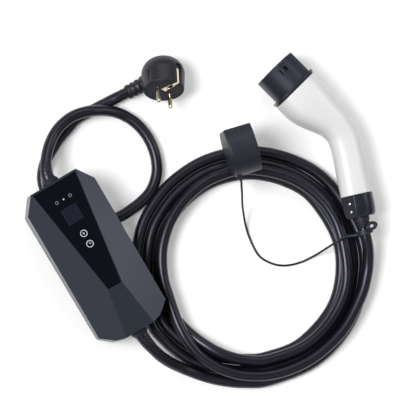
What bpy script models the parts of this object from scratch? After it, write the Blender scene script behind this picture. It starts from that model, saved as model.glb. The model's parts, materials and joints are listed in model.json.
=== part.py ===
# Portable EV charger: a control box, a mains plug on an input cord, a coiled output cord with a vehicle
# connector, and the connector's dust cap on its tether. Metres, +Z up, lying on the plane z = 0.
import math

import bmesh
import bpy
from mathutils import Matrix, Vector

# Clearance between touching pieces, and between a cord or sleeve and its bore
GAP = 0.0003
SLIP = 0.0001

# Cords
CORD_DIAMETER = 0.0125
TETHER_DIAMETER = 0.0024

# Control box
BOX_LENGTH = 0.187
BOX_WIDTH = 0.085
BOX_HEIGHT = 0.050
SEAM_BELOW_GLAND = 0.0015
BOX_WALL = 0.003
BOX_ROOF = 0.004
BOX_EDGE = 0.0012
INPUT_END_WIDTH = 0.057
INPUT_CHAMFER_LENGTH = 0.019
OUTPUT_END_WIDTH = 0.035
OUTPUT_CHAMFER_LENGTH = 0.0145
OUTPUT_SHOULDER_WIDTH = 0.056
OUTPUT_SHOULDER_LENGTH = 0.003
BOX_POSITION = (-0.1278, 0.0471)
BOX_TURN = math.radians(-14.0)
BOX_REST_HEIGHT = 0.0130
SIDE_SLOPE = math.radians(27.8)

# Panel in the cover
PANEL_WIDTH = 0.056
PANEL_LOW_WIDTH = 0.018
PANEL_LENGTH = 0.1325
PANEL_THICKNESS = 0.0015
PANEL_LIP = 0.0010
SCREEN_SIZE = 0.0195
SCREEN_FROM_END = 0.0412
LIGHTS_FROM_END = 0.0220
LIGHT_SPACING = 0.0084
LIGHT_RADIUS = 0.0015
SMALL_LIGHT_RADIUS = 0.0008

# Seam seal
GROOVE_WIDTH = 0.0016
GROOVE_DEPTH = 0.0016

# Screws from the back
SCREW_SHANK_RADIUS = 0.0013
SCREW_HEAD_RADIUS = 0.0029
SCREW_HEAD_HEIGHT = 0.0024
SCREW_LENGTH = 0.0120
SCREW_RECESS = 0.0036
SCREW_INSET = 0.0095
SCREW_FROM_END = 0.0275
POST_RADIUS = 0.0036

# Glands
GLAND_HEIGHT = BOX_HEIGHT / 2
GLAND_ROOM = 0.0027
GLAND_NECK_RADIUS = 0.0080
GLAND_FLANGE_RADIUS = 0.0098
GLAND_INNER_FLANGE = 0.0020
GLAND_REACH = 0.0060

# Boards and the parts on them
BOARD_THICKNESS = 0.0016
MAIN_BOARD_HEIGHT = 0.0080
MAIN_BOARD_WIDTH = 0.054
MAIN_BOARD_LENGTH = 0.140
DISPLAY_BOARD_DROP = 0.0026
DISPLAY_BOARD_WIDTH = 0.032
DISPLAY_BOARD_LENGTH = 0.074
DISPLAY_BOARD_FROM_END = 0.0080
PEG_RADIUS = 0.0013
PEG_SHOULDER_RADIUS = 0.0026
TERMINAL_DEPTH = 0.0100
RELAY_SIZE = (0.0160, 0.0290, 0.0150)
TRANSFORMER_SIZE = (0.0220, 0.0200, 0.0180)
SENSOR_OUTER_RADIUS = 0.0110
SENSOR_INNER_RADIUS = 0.0060
SENSOR_DEPTH = 0.0090
CAPACITOR_RADIUS = 0.0060
CAPACITOR_HEIGHT = 0.0180
PART_SPREAD = 0.0135
PART_ROOM = 0.0023

# Vehicle connector
CONNECTOR_FROM_COIL = (0.0464, 0.1056)
CONNECTOR_HEIGHT = 0.0302
NOSE_RADIUS = 0.0275
NOSE_FLAT = 0.0205
NOSE_OFFSET = 0.0027
NOSE_WALL = 0.0025
NOSE_LENGTH = 0.0300
FLANGE_WIDTH = 0.056
FLANGE_HEIGHT = 0.060
FLANGE_THICKNESS = 0.0026
SPIGOT_LENGTH = 0.0085
SPIGOT_WALL = 0.0020
LEDGE = 0.0012
SLOT_LENGTH = 0.0070
SLOT_WIDTH = 0.0090
SLOT_FROM_FRONT = 0.0080
SHELL_WALL = 0.0026
SEAL_THICKNESS = 0.0010
SHELL_SECTIONS = 14
BORE_SECTIONS = 8
SHELL_SIDES = 24
COLLAR_LENGTH = 0.0246
COLLAR_WALL = 0.0030
COLLAR_LAP = 0.0060
COLLAR_FLAT = 0.0140
COLLAR_FLAT_TILT = math.radians(35.0)
COLLAR_SCREW_SPACING = 0.0092
BOOT_LENGTH = 0.0120
BOOT_RADIUS = 0.0098
BOOT_TIP_RADIUS = 0.0078

# Contacts
CONTACT_CIRCLE = 0.0178
POWER_TOWER_RADIUS = 0.0060
POWER_BORE_RADIUS = 0.0041
POWER_SLEEVE_BORE = 0.0031
SIGNAL_TOWER_RADIUS = 0.0042
SIGNAL_BORE_RADIUS = 0.0025
SIGNAL_SLEEVE_BORE = 0.0016
SIGNAL_SPREAD = 0.0080
SIGNAL_RISE = 0.0130
CARRIER_PLATE = 0.0040
TOWER_RECESS = 0.0050
SLEEVE_RECESS = 0.0030
SLEEVE_TAIL = 0.0080

# Mains plug
PLUG_POSITION = (0.0560, 0.1230)
PLUG_PIN_DIRECTION = (-0.630, -0.630, 0.454)
PLUG_EARTH_DIRECTION = (0.711, -0.233, 0.663)
PLUG_DEPTH = 0.038
PLUG_FACE_RADIUS = 0.0205
PLUG_FACE_THICKNESS = 0.0025
PLUG_RIM = 0.0020
PLUG_GRIP_RADIUS = 0.0240
PLUG_BACK_RADIUS = 0.0140
PIN_RADIUS = 0.0024
PIN_SPACING = 0.019
PIN_LENGTH = 0.019
PIN_ROOT = 0.0090
EARTH_STRIP_WIDTH = 0.0070
EARTH_STRIP_THICKNESS = 0.0010
EARTH_STRIP_LENGTH = 0.0180
EARTH_STRIP_START = 0.0010
EARTH_SOCKET_OFFSET = 0.0100
EARTH_SOCKET_RADIUS = 0.0031
EARTH_SOCKET_DEPTH = 0.0090
PLUG_NECK_RADIUS = 0.0160
PLUG_NECK_SHARE = 0.55
PLUG_BOOT_RADIUS = 0.0102
PLUG_BOOT_TIP_RADIUS = 0.0078
PLUG_BOOT_REACH = 0.0430
PLUG_BOOT_BEND = 0.0260
PLUG_BOOT_LEVEL = 0.0080

# Dust cap and tether
CAP_CLEARANCE = 0.0004
CAP_WALL = 0.0017
CAP_DEPTH = 0.0310
CAP_END = 0.0022
CAP_PAST_COIL = 0.0007
CAP_ROUND_COIL = math.radians(52.0)
CAP_TURN = math.radians(-28.1)
CAP_LUG_RADIUS = 0.0030
RING_WALL = 0.0022
RING_WIDTH = 0.0060

# Output cord's coil
COIL_CENTRE = (-0.0094, -0.0804)
COIL_INNER_RADIUS = 0.0945
COIL_OUTER_RADIUS = 0.1230
COIL_HEIGHT = 0.0250
COIL_STEPS = 40
TAIL_ROOM = 0.0150
CONNECTOR_POSITION = (
    COIL_CENTRE[0] + COIL_OUTER_RADIUS + CONNECTOR_FROM_COIL[0],
    COIL_CENTRE[1] + CONNECTOR_FROM_COIL[1],
)
CAP_POSITION = (
    COIL_CENTRE[0] + (COIL_OUTER_RADIUS + CAP_PAST_COIL) * math.cos(CAP_ROUND_COIL),
    COIL_CENTRE[1] + (COIL_OUTER_RADIUS + CAP_PAST_COIL) * math.sin(CAP_ROUND_COIL),
)

# Colours as red, green and blue in linear light
BOX_COLOUR = (0.045, 0.054, 0.070)
PANEL_COLOUR = (0.008, 0.010, 0.014)
SCREEN_COLOUR = (0.021, 0.023, 0.040)
LIGHT_COLOUR = (0.75, 0.78, 0.80)
BOARD_COLOUR = (0.020, 0.130, 0.060)
RELAY_COLOUR = (0.030, 0.080, 0.250)
FERRITE_COLOUR = (0.040, 0.040, 0.042)
COPPER_COLOUR = (0.550, 0.220, 0.090)
TERMINAL_COLOUR = (0.050, 0.260, 0.080)
STEEL_COLOUR = (0.560, 0.570, 0.580)
NICKEL_COLOUR = (0.620, 0.540, 0.420)
SILVER_COLOUR = (0.700, 0.700, 0.680)
RUBBER_COLOUR = (0.014, 0.014, 0.016)
CORD_COLOUR = (0.012, 0.012, 0.016)
SHELL_COLOUR = (0.730, 0.740, 0.740)
NOSE_COLOUR = (0.026, 0.029, 0.040)
CARRIER_COLOUR = (0.018, 0.018, 0.020)
PLUG_COLOUR = (0.048, 0.048, 0.050)
CAP_COLOUR = (0.026, 0.030, 0.037)


for item in list(bpy.data.objects):
    bpy.data.objects.remove(item, do_unlink=True)

parts = bpy.data.collections.new("portable_ev_charger")
cutters = bpy.data.collections.new("cutters")
bpy.context.scene.collection.children.link(parts)
bpy.context.scene.collection.children.link(cutters)


def finish(name, colour, roughness, metallic=0.0):
    """A Principled material of one colour."""
    made = bpy.data.materials.new(name)
    made.use_nodes = True
    shader = made.node_tree.nodes["Principled BSDF"]
    shader.inputs["Base Color"].default_value = (*colour, 1.0)
    shader.inputs["Roughness"].default_value = roughness
    shader.inputs["Metallic"].default_value = metallic
    made.diffuse_color = (*colour, 1.0)
    return made


def empty(name, matrix):
    """A frame that pieces are placed in."""
    frame = bpy.data.objects.new(name, None)
    frame.empty_display_size = 0.02
    frame.matrix_world = matrix
    parts.objects.link(frame)
    return frame


def placed(name, data, frame, material=None):
    """A part where there is a material, and otherwise a cutter or guide."""
    item = bpy.data.objects.new(name, data)
    item.parent = frame
    if material is None:
        cutters.objects.link(item)
        item.hide_render = True
        item.display_type = "WIRE"
    else:
        parts.objects.link(item)
        item.data.materials.append(material)
    return item


def mesh_from(bm, name):
    """A mesh whose faces point out, smooth across its shallow edges."""
    bmesh.ops.recalc_face_normals(bm, faces=bm.faces)
    mesh = bpy.data.meshes.new(name)
    bm.to_mesh(mesh)
    bm.free()
    mesh.shade_smooth()
    mesh.set_sharp_from_angle(angle=math.radians(35.0))
    return mesh


def add_prism(bm, outline, low, high):
    """An outline in X and Y, raised from low to high."""
    corners = [bm.verts.new((x, y, low)) for x, y in outline]
    floor = bm.faces.new(corners)
    raised = bmesh.ops.extrude_face_region(bm, geom=[floor], use_keep_orig=True)
    top = [v for v in raised["geom"] if isinstance(v, bmesh.types.BMVert)]
    bmesh.ops.translate(bm, verts=top, vec=(0.0, 0.0, high - low))


def prism(name, outline, low, high, frame, material=None):
    bm = bmesh.new()
    add_prism(bm, outline, low, high)
    return placed(name, mesh_from(bm, name), frame, material)


def block(name, size, centre, frame, material=None):
    """A box of this size about this centre."""
    bm = bmesh.new()
    bmesh.ops.create_cube(bm, size=1.0)
    bmesh.ops.scale(bm, vec=size, verts=bm.verts)
    bmesh.ops.translate(bm, vec=centre, verts=bm.verts)
    return placed(name, mesh_from(bm, name), frame, material)


def rods(name, radius, ends, frame, material=None, sides=12):
    """One cylinder for each pair of ends, in one mesh."""
    bm = bmesh.new()
    for start, end in ends:
        start = Vector(start)
        run = Vector(end) - start
        turn = run.to_track_quat("Z", "Y").to_matrix().to_4x4()
        place = Matrix.Translation(start + run / 2) @ turn
        bmesh.ops.create_cone(
            bm, cap_ends=True, segments=sides, radius1=radius, radius2=radius, depth=run.length, matrix=place
        )
    return placed(name, mesh_from(bm, name), frame, material)


def turned(name, profile, frame, material=None, steps=32, place=None):
    """A profile of radius and height, listed down its outer side, turned about Z."""
    bm = bmesh.new()
    points = [bm.verts.new((radius, 0.0, height)) for radius, height in profile]
    for first, second in zip(points, points[1:]):
        bm.edges.new((first, second))
    if profile[0][0] > 0.0 and profile[-1][0] > 0.0:
        bm.edges.new((points[-1], points[0]))
    mesh = bpy.data.meshes.new(name)
    bm.to_mesh(mesh)
    bm.free()
    item = placed(name, mesh, frame, material)
    screw = item.modifiers.new("turn", "SCREW")
    screw.steps = steps
    screw.render_steps = steps
    screw.use_merge_vertices = True
    screw.merge_threshold = 0.00001
    if place is not None:
        item.matrix_local = place
    return item


def boolean(item, other, operation):
    step = item.modifiers.new(other.name, "BOOLEAN")
    step.operation = operation
    step.object = other
    step.solver = "EXACT"


def cut(item, *others):
    for other in others:
        boolean(item, other, "DIFFERENCE")


def fuse(item, *others):
    for other in others:
        boolean(item, other, "UNION")


def round_edges(item, width, segments=2, angle=20.0):
    step = item.modifiers.new("edges", "BEVEL")
    step.width = width
    step.segments = segments
    step.limit_method = "ANGLE"
    step.angle_limit = math.radians(angle)


def smooth_route(points, count):
    """Evenly spaced points on one smooth curve through the route's own points."""
    route = [Vector(p) for p in points]
    route = [2 * route[0] - route[1]] + route + [2 * route[-1] - route[-2]]
    steps = 12
    dense = []
    for before, start, end, after in zip(route, route[1:], route[2:], route[3:]):
        for step in range(steps):
            t = step / steps
            middle = (end - before) * t + (2 * before - 5 * start + 4 * end - after) * t**2
            cubic = (3 * start - before - 3 * end + after) * t**3
            dense.append(start + (middle + cubic) / 2)
    dense.append(route[-2])
    reached = [0.0]
    for first, second in zip(dense, dense[1:]):
        reached.append(reached[-1] + (second - first).length)
    even = []
    place = 0
    for index in range(count):
        wanted = reached[-1] * index / (count - 1)
        while place < len(dense) - 2 and reached[place + 1] < wanted:
            place += 1
        share = (wanted - reached[place]) / (reached[place + 1] - reached[place])
        even.append(dense[place].lerp(dense[place + 1], min(share, 1.0)))
    return even


def tube(name, points, diameter, material, resolution=2, radii=None):
    """A round cord as a curve with filled caps, nowhere below the floor."""
    curve = bpy.data.curves.new(name, "CURVE")
    curve.dimensions = "3D"
    curve.bevel_depth = diameter / 2
    curve.bevel_resolution = resolution
    curve.use_fill_caps = True
    line = curve.splines.new("POLY")
    line.points.add(len(points) - 1)
    for index, point in enumerate(points):
        radius = radii[index] if radii else diameter / 2
        line.points[index].co = (point.x, point.y, max(point.z, radius + SLIP), 1.0)
        line.points[index].radius = radius / (diameter / 2)
    return placed(name, curve, None, material)


def as_mesh(item, name, frame, material=None):
    """A curve made a mesh, with its caps welded, so that it can be joined."""
    graph = bpy.context.evaluated_depsgraph_get()
    mesh = bpy.data.meshes.new_from_object(item.evaluated_get(graph))
    bm = bmesh.new()
    bm.from_mesh(mesh)
    bmesh.ops.remove_doubles(bm, verts=bm.verts, dist=0.00001)
    bmesh.ops.transform(bm, matrix=item.matrix_world, verts=bm.verts)
    bpy.data.objects.remove(item, do_unlink=True)
    return placed(name, mesh_from(bm, name), frame, material)


def inset_outline(points, inset):
    """A convex outline, listed anticlockwise, with each side moved in by the inset."""
    moved = []
    for before, corner, after in zip(points[-1:] + points[:-1], points, points[1:] + points[:1]):
        first = (Vector(corner) - Vector(before)).normalized()
        second = (Vector(after) - Vector(corner)).normalized()
        inward = Vector((-first.y - second.y, first.x + second.x))
        reach = 1.0 + first.dot(second)
        moved.append(tuple(Vector(corner) + inward * (inset / reach)))
    return moved


def rounded_section(width, height, squareness, sides):
    """A section between an ellipse and a rectangle, in two directions."""
    section = []
    for index in range(sides):
        angle = 2 * math.pi * index / sides
        across = math.copysign(abs(math.cos(angle)) ** (2 / squareness), math.cos(angle))
        up = math.copysign(abs(math.sin(angle)) ** (2 / squareness), math.sin(angle))
        section.append((across * width / 2, up * height / 2))
    return section


def add_loft(bm, rings, close_ends):
    """A skin bridged from ring to ring."""
    loops = []
    for ring in rings:
        corners = [bm.verts.new(point) for point in ring]
        edges = [bm.edges.new(pair) for pair in zip(corners, corners[1:] + corners[:1])]
        loops.append((corners, edges))
    for (_, first), (_, second) in zip(loops, loops[1:]):
        bmesh.ops.bridge_loops(bm, edges=first + second)
    if close_ends:
        bm.faces.new(loops[0][0])
        bm.faces.new(loops[-1][0])


def loft(name, rings, frame, material=None):
    bm = bmesh.new()
    add_loft(bm, rings, close_ends=True)
    return placed(name, mesh_from(bm, name), frame, material)


# Finishes
box_finish = finish("box_plastic", BOX_COLOUR, 0.45)
panel_finish = finish("panel_gloss", PANEL_COLOUR, 0.08)
screen_finish = finish("screen_glass", SCREEN_COLOUR, 0.15)
light_finish = finish("light_guide", LIGHT_COLOUR, 0.20)
board_finish = finish("circuit_board", BOARD_COLOUR, 0.40)
relay_finish = finish("relay_case", RELAY_COLOUR, 0.40)
ferrite_finish = finish("ferrite", FERRITE_COLOUR, 0.60)
copper_finish = finish("copper_winding", COPPER_COLOUR, 0.35, 1.0)
terminal_finish = finish("terminal_plastic", TERMINAL_COLOUR, 0.50)
steel_finish = finish("steel", STEEL_COLOUR, 0.30, 1.0)
nickel_finish = finish("nickel", NICKEL_COLOUR, 0.25, 1.0)
silver_finish = finish("silver_plate", SILVER_COLOUR, 0.20, 1.0)
rubber_finish = finish("rubber", RUBBER_COLOUR, 0.65)
cord_finish = finish("cord_sheath", CORD_COLOUR, 0.45)
shell_finish = finish("white_shell", SHELL_COLOUR, 0.35)
nose_finish = finish("nose_plastic", NOSE_COLOUR, 0.45)
carrier_finish = finish("carrier_plastic", CARRIER_COLOUR, 0.55)
plug_finish = finish("plug_rubber", PLUG_COLOUR, 0.70)
cap_finish = finish("cap_rubber", CAP_COLOUR, 0.60)

# Frames
box_place = Matrix.Translation((*BOX_POSITION, BOX_REST_HEIGHT)) @ Matrix.Rotation(BOX_TURN, 4, "Z")
box_frame = empty("box_frame", box_place)
connector_place = Matrix.Translation((*CONNECTOR_POSITION, CONNECTOR_HEIGHT))
connector_frame = empty("connector_frame", connector_place)
HALF_LENGTH = BOX_LENGTH / 2
HALF_WIDTH = BOX_WIDTH / 2
BOX_SEAM_HEIGHT = GLAND_HEIGHT - GLAND_NECK_RADIUS - SEAM_BELOW_GLAND
OUTPUT_END_HEIGHT = GLAND_HEIGHT + GLAND_FLANGE_RADIUS + BOX_ROOF + GLAND_ROOM
LOWER_FACET_SLOPE = math.atan2(BOX_HEIGHT - OUTPUT_END_HEIGHT, BOX_LENGTH - PANEL_LENGTH)


# Control box: outline and facets
def box_outline(inset=0.0):
    """The box seen from above, anticlockwise, with the input end at +Y."""
    right = [
        (OUTPUT_END_WIDTH / 2, -HALF_LENGTH),
        (OUTPUT_SHOULDER_WIDTH / 2, -HALF_LENGTH + OUTPUT_SHOULDER_LENGTH),
        (HALF_WIDTH, -HALF_LENGTH + OUTPUT_CHAMFER_LENGTH),
        (HALF_WIDTH, HALF_LENGTH - INPUT_CHAMFER_LENGTH),
        (INPUT_END_WIDTH / 2, HALF_LENGTH),
    ]
    left = [(-x, y) for x, y in reversed(right)]
    return inset_outline(right + left, inset)


def facet_planes(inset=0.0):
    """The two side facets and the lower facet, as a point and an outward normal, moved in by the inset."""
    ridge_run = Vector((PANEL_WIDTH / 2 - PANEL_LOW_WIDTH / 2, PANEL_LENGTH)).normalized()
    planes = []
    for side in (1, -1):
        across = Vector((side * ridge_run.y, -ridge_run.x, 0.0))
        normal = across * math.sin(SIDE_SLOPE) + Vector((0.0, 0.0, math.cos(SIDE_SLOPE)))
        point = Vector((side * PANEL_WIDTH / 2, HALF_LENGTH, BOX_HEIGHT))
        planes.append((point - normal * inset, normal))
    normal = Vector((0.0, -math.sin(LOWER_FACET_SLOPE), math.cos(LOWER_FACET_SLOPE)))
    point = Vector((0.0, HALF_LENGTH - PANEL_LENGTH, BOX_HEIGHT))
    planes.append((point - normal * inset, normal))
    return planes


def faceted_box(name, inset, roof_inset, low, frame, material=None):
    """The box's outline raised to its top, with the facets sliced off."""
    bm = bmesh.new()
    add_prism(bm, box_outline(inset), low, BOX_HEIGHT - roof_inset)
    bmesh.ops.recalc_face_normals(bm, faces=bm.faces)
    for point, normal in facet_planes(max(inset, roof_inset)):
        everything = bm.verts[:] + bm.edges[:] + bm.faces[:]
        sliced = bmesh.ops.bisect_plane(
            bm, geom=everything, plane_co=point, plane_no=normal, clear_outer=True
        )
        rim = [e for e in sliced["geom_cut"] if isinstance(e, bmesh.types.BMEdge)]
        bmesh.ops.edgeloop_fill(bm, edges=rim)
    return placed(name, mesh_from(bm, name), frame, material)


def ring_cutter(name, outer, inner, low, high, frame, material=None):
    """The band between two insets of the box's outline."""
    band = prism(name, box_outline(outer), low, high, frame, material)
    hole = prism(name + "_hole", box_outline(inner), low - BOX_WALL, high + BOX_WALL, frame)
    cut(band, hole)
    return band


SCREW_X = HALF_WIDTH - SCREW_INSET
SCREW_Y = HALF_LENGTH - SCREW_FROM_END
screw_places = [(SCREW_X, SCREW_Y), (-SCREW_X, SCREW_Y), (-SCREW_X, -SCREW_Y), (SCREW_X, -SCREW_Y)]
BOSS_TOP = SCREW_RECESS + BOX_WALL
POST_LOW = BOSS_TOP + GAP
COVER_LOW = BOX_SEAM_HEIGHT + GAP
board_pegs = [
    (side * (MAIN_BOARD_WIDTH / 2 - 2.2 * PEG_RADIUS), end * (MAIN_BOARD_LENGTH / 2 - 2.2 * PEG_RADIUS))
    for side in (1, -1)
    for end in (1, -1)
]
BORE_RADIUS = CORD_DIAMETER / 2 + GAP
GLAND_HOLE = GLAND_NECK_RADIUS + GAP
gland_cut = rods(
    "gland_cut",
    GLAND_HOLE,
    [((0.0, -BOX_LENGTH, GLAND_HEIGHT), (0.0, BOX_LENGTH, GLAND_HEIGHT))],
    box_frame,
    sides=20,
)

# Base
box_base = prism("box_base", box_outline(), 0.0, BOX_SEAM_HEIGHT, box_frame, box_finish)
round_edges(box_base, BOX_EDGE, segments=1)
base_cavity = prism("base_cavity", box_outline(BOX_WALL), BOX_WALL, BOX_HEIGHT, box_frame)
groove_side = (BOX_WALL - GROOVE_WIDTH) / 2
groove = ring_cutter(
    "groove", groove_side, groove_side + GROOVE_WIDTH, BOX_SEAM_HEIGHT - GROOVE_DEPTH, BOX_HEIGHT, box_frame
)
base_bosses = rods(
    "base_bosses",
    POST_RADIUS,
    [((x, y, BOX_WALL / 2), (x, y, BOSS_TOP)) for x, y in screw_places],
    box_frame,
)
standoffs = rods(
    "standoffs",
    PEG_SHOULDER_RADIUS,
    [((x, y, BOX_WALL / 2), (x, y, MAIN_BOARD_HEIGHT - GAP)) for x, y in board_pegs],
    box_frame,
)
board_pins = rods(
    "board_pins",
    PEG_RADIUS,
    [((x, y, BOX_WALL / 2), (x, y, MAIN_BOARD_HEIGHT + 2 * BOARD_THICKNESS)) for x, y in board_pegs],
    box_frame,
    sides=8,
)
head_recesses = rods(
    "head_recesses",
    SCREW_HEAD_RADIUS + GAP,
    [((x, y, -BOX_WALL), (x, y, SCREW_RECESS)) for x, y in screw_places],
    box_frame,
)
shank_holes = rods(
    "shank_holes",
    SCREW_SHANK_RADIUS + GAP,
    [((x, y, -BOX_WALL), (x, y, SCREW_RECESS + SCREW_LENGTH + 2 * GAP)) for x, y in screw_places],
    box_frame,
    sides=8,
)
cut(box_base, base_cavity, groove)
fuse(box_base, base_bosses, standoffs, board_pins)
cut(box_base, head_recesses, shank_holes)

# Seam seal
box_gasket = ring_cutter(
    "box_gasket",
    groove_side + GAP,
    groove_side + GROOVE_WIDTH - GAP,
    BOX_SEAM_HEIGHT - GROOVE_DEPTH + GAP,
    BOX_SEAM_HEIGHT,
    box_frame,
    rubber_finish,
)

# Screws from the back
SCREW_HEAD_TOP = SCREW_RECESS - GAP
screw_profile = [
    (0.0, SCREW_HEAD_TOP + SCREW_LENGTH),
    (SCREW_SHANK_RADIUS * 0.6, SCREW_HEAD_TOP + SCREW_LENGTH),
    (SCREW_SHANK_RADIUS, SCREW_HEAD_TOP + SCREW_LENGTH - SCREW_SHANK_RADIUS),
    (SCREW_SHANK_RADIUS, SCREW_HEAD_TOP),
    (SCREW_HEAD_RADIUS, SCREW_HEAD_TOP),
    (SCREW_HEAD_RADIUS, SCREW_HEAD_TOP - SCREW_HEAD_HEIGHT * 0.6),
    (SCREW_HEAD_RADIUS * 0.7, SCREW_HEAD_TOP - SCREW_HEAD_HEIGHT),
    (0.0, SCREW_HEAD_TOP - SCREW_HEAD_HEIGHT),
]
for number, (x, y) in enumerate(screw_places, 1):
    turned(
        f"cover_screw_{number}",
        screw_profile,
        box_frame,
        steel_finish,
        steps=12,
        place=Matrix.Translation((x, y, 0.0)),
    )

# Display board's pegs, and what shows through the panel
PANEL_FLOOR = BOX_HEIGHT - PANEL_THICKNESS - GAP
ROOF_UNDERSIDE = BOX_HEIGHT - BOX_ROOF
DISPLAY_BOARD_TOP = ROOF_UNDERSIDE - DISPLAY_BOARD_DROP
DISPLAY_BOARD_Y = HALF_LENGTH - DISPLAY_BOARD_FROM_END - DISPLAY_BOARD_LENGTH / 2
display_pegs = [
    (
        side * (DISPLAY_BOARD_WIDTH / 2 - 2.2 * PEG_RADIUS),
        DISPLAY_BOARD_Y + end * (DISPLAY_BOARD_LENGTH / 2 - 2.2 * PEG_RADIUS),
    )
    for side in (1, -1)
    for end in (1, -1)
]
LIGHTS_Y = HALF_LENGTH - LIGHTS_FROM_END
SCREEN_Y = HALF_LENGTH - SCREEN_FROM_END
lights = {
    "power_light": (-LIGHT_SPACING, LIGHT_RADIUS),
    "charge_light": (0.0, SMALL_LIGHT_RADIUS),
    "fault_light": (LIGHT_SPACING, LIGHT_RADIUS),
}


def panel_outline(inset):
    """The black panel, a little inside the flat that the facets leave."""
    half_high = PANEL_WIDTH / 2
    half_low = PANEL_LOW_WIDTH / 2
    low = HALF_LENGTH - PANEL_LENGTH
    high = HALF_LENGTH - BOX_EDGE
    corners = [(half_low, low), (half_high, high), (-half_high, high), (-half_low, low)]
    return inset_outline(corners, inset)


# Cover
box_cover = faceted_box("box_cover", 0.0, 0.0, COVER_LOW, box_frame, box_finish)
round_edges(box_cover, BOX_EDGE)
cover_cavity = faceted_box("cover_cavity", BOX_WALL, BOX_ROOF, 0.0, box_frame)
cover_posts = rods(
    "cover_posts",
    POST_RADIUS,
    [((x, y, POST_LOW), (x, y, BOX_HEIGHT)) for x, y in screw_places],
    box_frame,
)
display_shoulders = rods(
    "display_shoulders",
    PEG_SHOULDER_RADIUS,
    [((x, y, DISPLAY_BOARD_TOP + GAP), (x, y, BOX_HEIGHT)) for x, y in display_pegs],
    box_frame,
)
display_pins = rods(
    "display_pins",
    PEG_RADIUS,
    [((x, y, DISPLAY_BOARD_TOP - 2 * BOARD_THICKNESS), (x, y, BOX_HEIGHT)) for x, y in display_pegs],
    box_frame,
    sides=8,
)
mid_wall = faceted_box("mid_wall", BOX_WALL / 2, BOX_ROOF * 0.7, 0.0, box_frame)
for pillar in (cover_posts, display_shoulders, display_pins):
    boolean(pillar, mid_wall, "INTERSECT")
panel_recess = prism("panel_recess", panel_outline(PANEL_LIP), PANEL_FLOOR, BOX_HEIGHT + BOX_WALL, box_frame)
WINDOW = SCREEN_SIZE + 2 * GAP
screen_window = block(
    "screen_window", (WINDOW, WINDOW, BOX_HEIGHT), (0.0, SCREEN_Y, BOX_HEIGHT), box_frame
)
light_holes = [
    rods(
        name + "_hole",
        radius + GAP,
        [((x, LIGHTS_Y, DISPLAY_BOARD_TOP), (x, LIGHTS_Y, BOX_HEIGHT + BOX_WALL))],
        box_frame,
    )
    for name, (x, radius) in lights.items()
]
cut(box_cover, cover_cavity)
fuse(box_cover, cover_posts, display_shoulders, display_pins)
cut(box_cover, shank_holes, gland_cut, panel_recess, screen_window, *light_holes)

# Panel, screen and lights
display_panel = prism(
    "display_panel", panel_outline(PANEL_LIP + GAP), PANEL_FLOOR + GAP, BOX_HEIGHT, box_frame, panel_finish
)
cut(display_panel, screen_window, *light_holes)
SCREEN_LOW = DISPLAY_BOARD_TOP + GAP
SCREEN_TOP = BOX_HEIGHT - GAP
lcd_screen = block(
    "lcd_screen",
    (SCREEN_SIZE, SCREEN_SIZE, SCREEN_TOP - SCREEN_LOW),
    (0.0, SCREEN_Y, (SCREEN_TOP + SCREEN_LOW) / 2),
    box_frame,
    screen_finish,
)
round_edges(lcd_screen, 0.0003, segments=1, angle=60.0)
for name, (x, radius) in lights.items():
    guide_profile = [
        (0.0, SCREEN_TOP),
        (radius * 0.8, SCREEN_TOP),
        (radius, SCREEN_TOP - radius * 0.2),
        (radius, SCREEN_LOW),
        (0.0, SCREEN_LOW),
    ]
    turned(
        name, guide_profile, box_frame, light_finish, steps=12, place=Matrix.Translation((x, LIGHTS_Y, 0.0))
    )

# Display board
display_board = block(
    "display_board",
    (DISPLAY_BOARD_WIDTH, DISPLAY_BOARD_LENGTH, BOARD_THICKNESS),
    (0.0, DISPLAY_BOARD_Y, DISPLAY_BOARD_TOP - BOARD_THICKNESS / 2),
    box_frame,
    board_finish,
)
display_board_holes = rods(
    "display_board_holes",
    PEG_RADIUS + GAP,
    [((x, y, 0.0), (x, y, BOX_HEIGHT)) for x, y in display_pegs],
    box_frame,
    sides=8,
)
cut(display_board, display_board_holes)

# Main board and what stands on it
main_board = block(
    "main_board",
    (MAIN_BOARD_WIDTH, MAIN_BOARD_LENGTH, BOARD_THICKNESS),
    (0.0, 0.0, MAIN_BOARD_HEIGHT + BOARD_THICKNESS / 2),
    box_frame,
    board_finish,
)
main_board_holes = rods(
    "main_board_holes",
    PEG_RADIUS + GAP,
    [((x, y, 0.0), (x, y, BOX_HEIGHT)) for x, y in board_pegs],
    box_frame,
    sides=8,
)
cut(main_board, main_board_holes)
PART_FLOOR = MAIN_BOARD_HEIGHT + BOARD_THICKNESS + GAP


def on_board(name, size, x, y, material):
    """A case that stands on the main board."""
    item = block(name, size, (x, y, PART_FLOOR + size[2] / 2), box_frame, material)
    round_edges(item, 0.0005, segments=1)
    return item


RELAY_Y = MAIN_BOARD_LENGTH * 0.16
TERMINAL_Y = MAIN_BOARD_LENGTH / 2 - 4.4 * PEG_RADIUS - TERMINAL_DEPTH / 2
POWER_Y = -(TERMINAL_Y - TERMINAL_DEPTH / 2 - PART_ROOM - TRANSFORMER_SIZE[1] / 2)
on_board("relay_line", RELAY_SIZE, -PART_SPREAD, RELAY_Y, relay_finish)
on_board("relay_neutral", RELAY_SIZE, PART_SPREAD, RELAY_Y, relay_finish)
on_board("transformer", TRANSFORMER_SIZE, -PART_SPREAD, POWER_Y, copper_finish)
capacitor_profile = [
    (0.0, CAPACITOR_HEIGHT),
    (CAPACITOR_RADIUS * 0.9, CAPACITOR_HEIGHT),
    (CAPACITOR_RADIUS, CAPACITOR_HEIGHT * 0.96),
    (CAPACITOR_RADIUS, 0.0),
    (0.0, 0.0),
]
turned(
    "capacitor",
    capacitor_profile,
    box_frame,
    ferrite_finish,
    steps=20,
    place=Matrix.Translation((PART_SPREAD, POWER_Y, PART_FLOOR)),
)
SENSOR_BEVEL = SENSOR_DEPTH * 0.12
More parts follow.
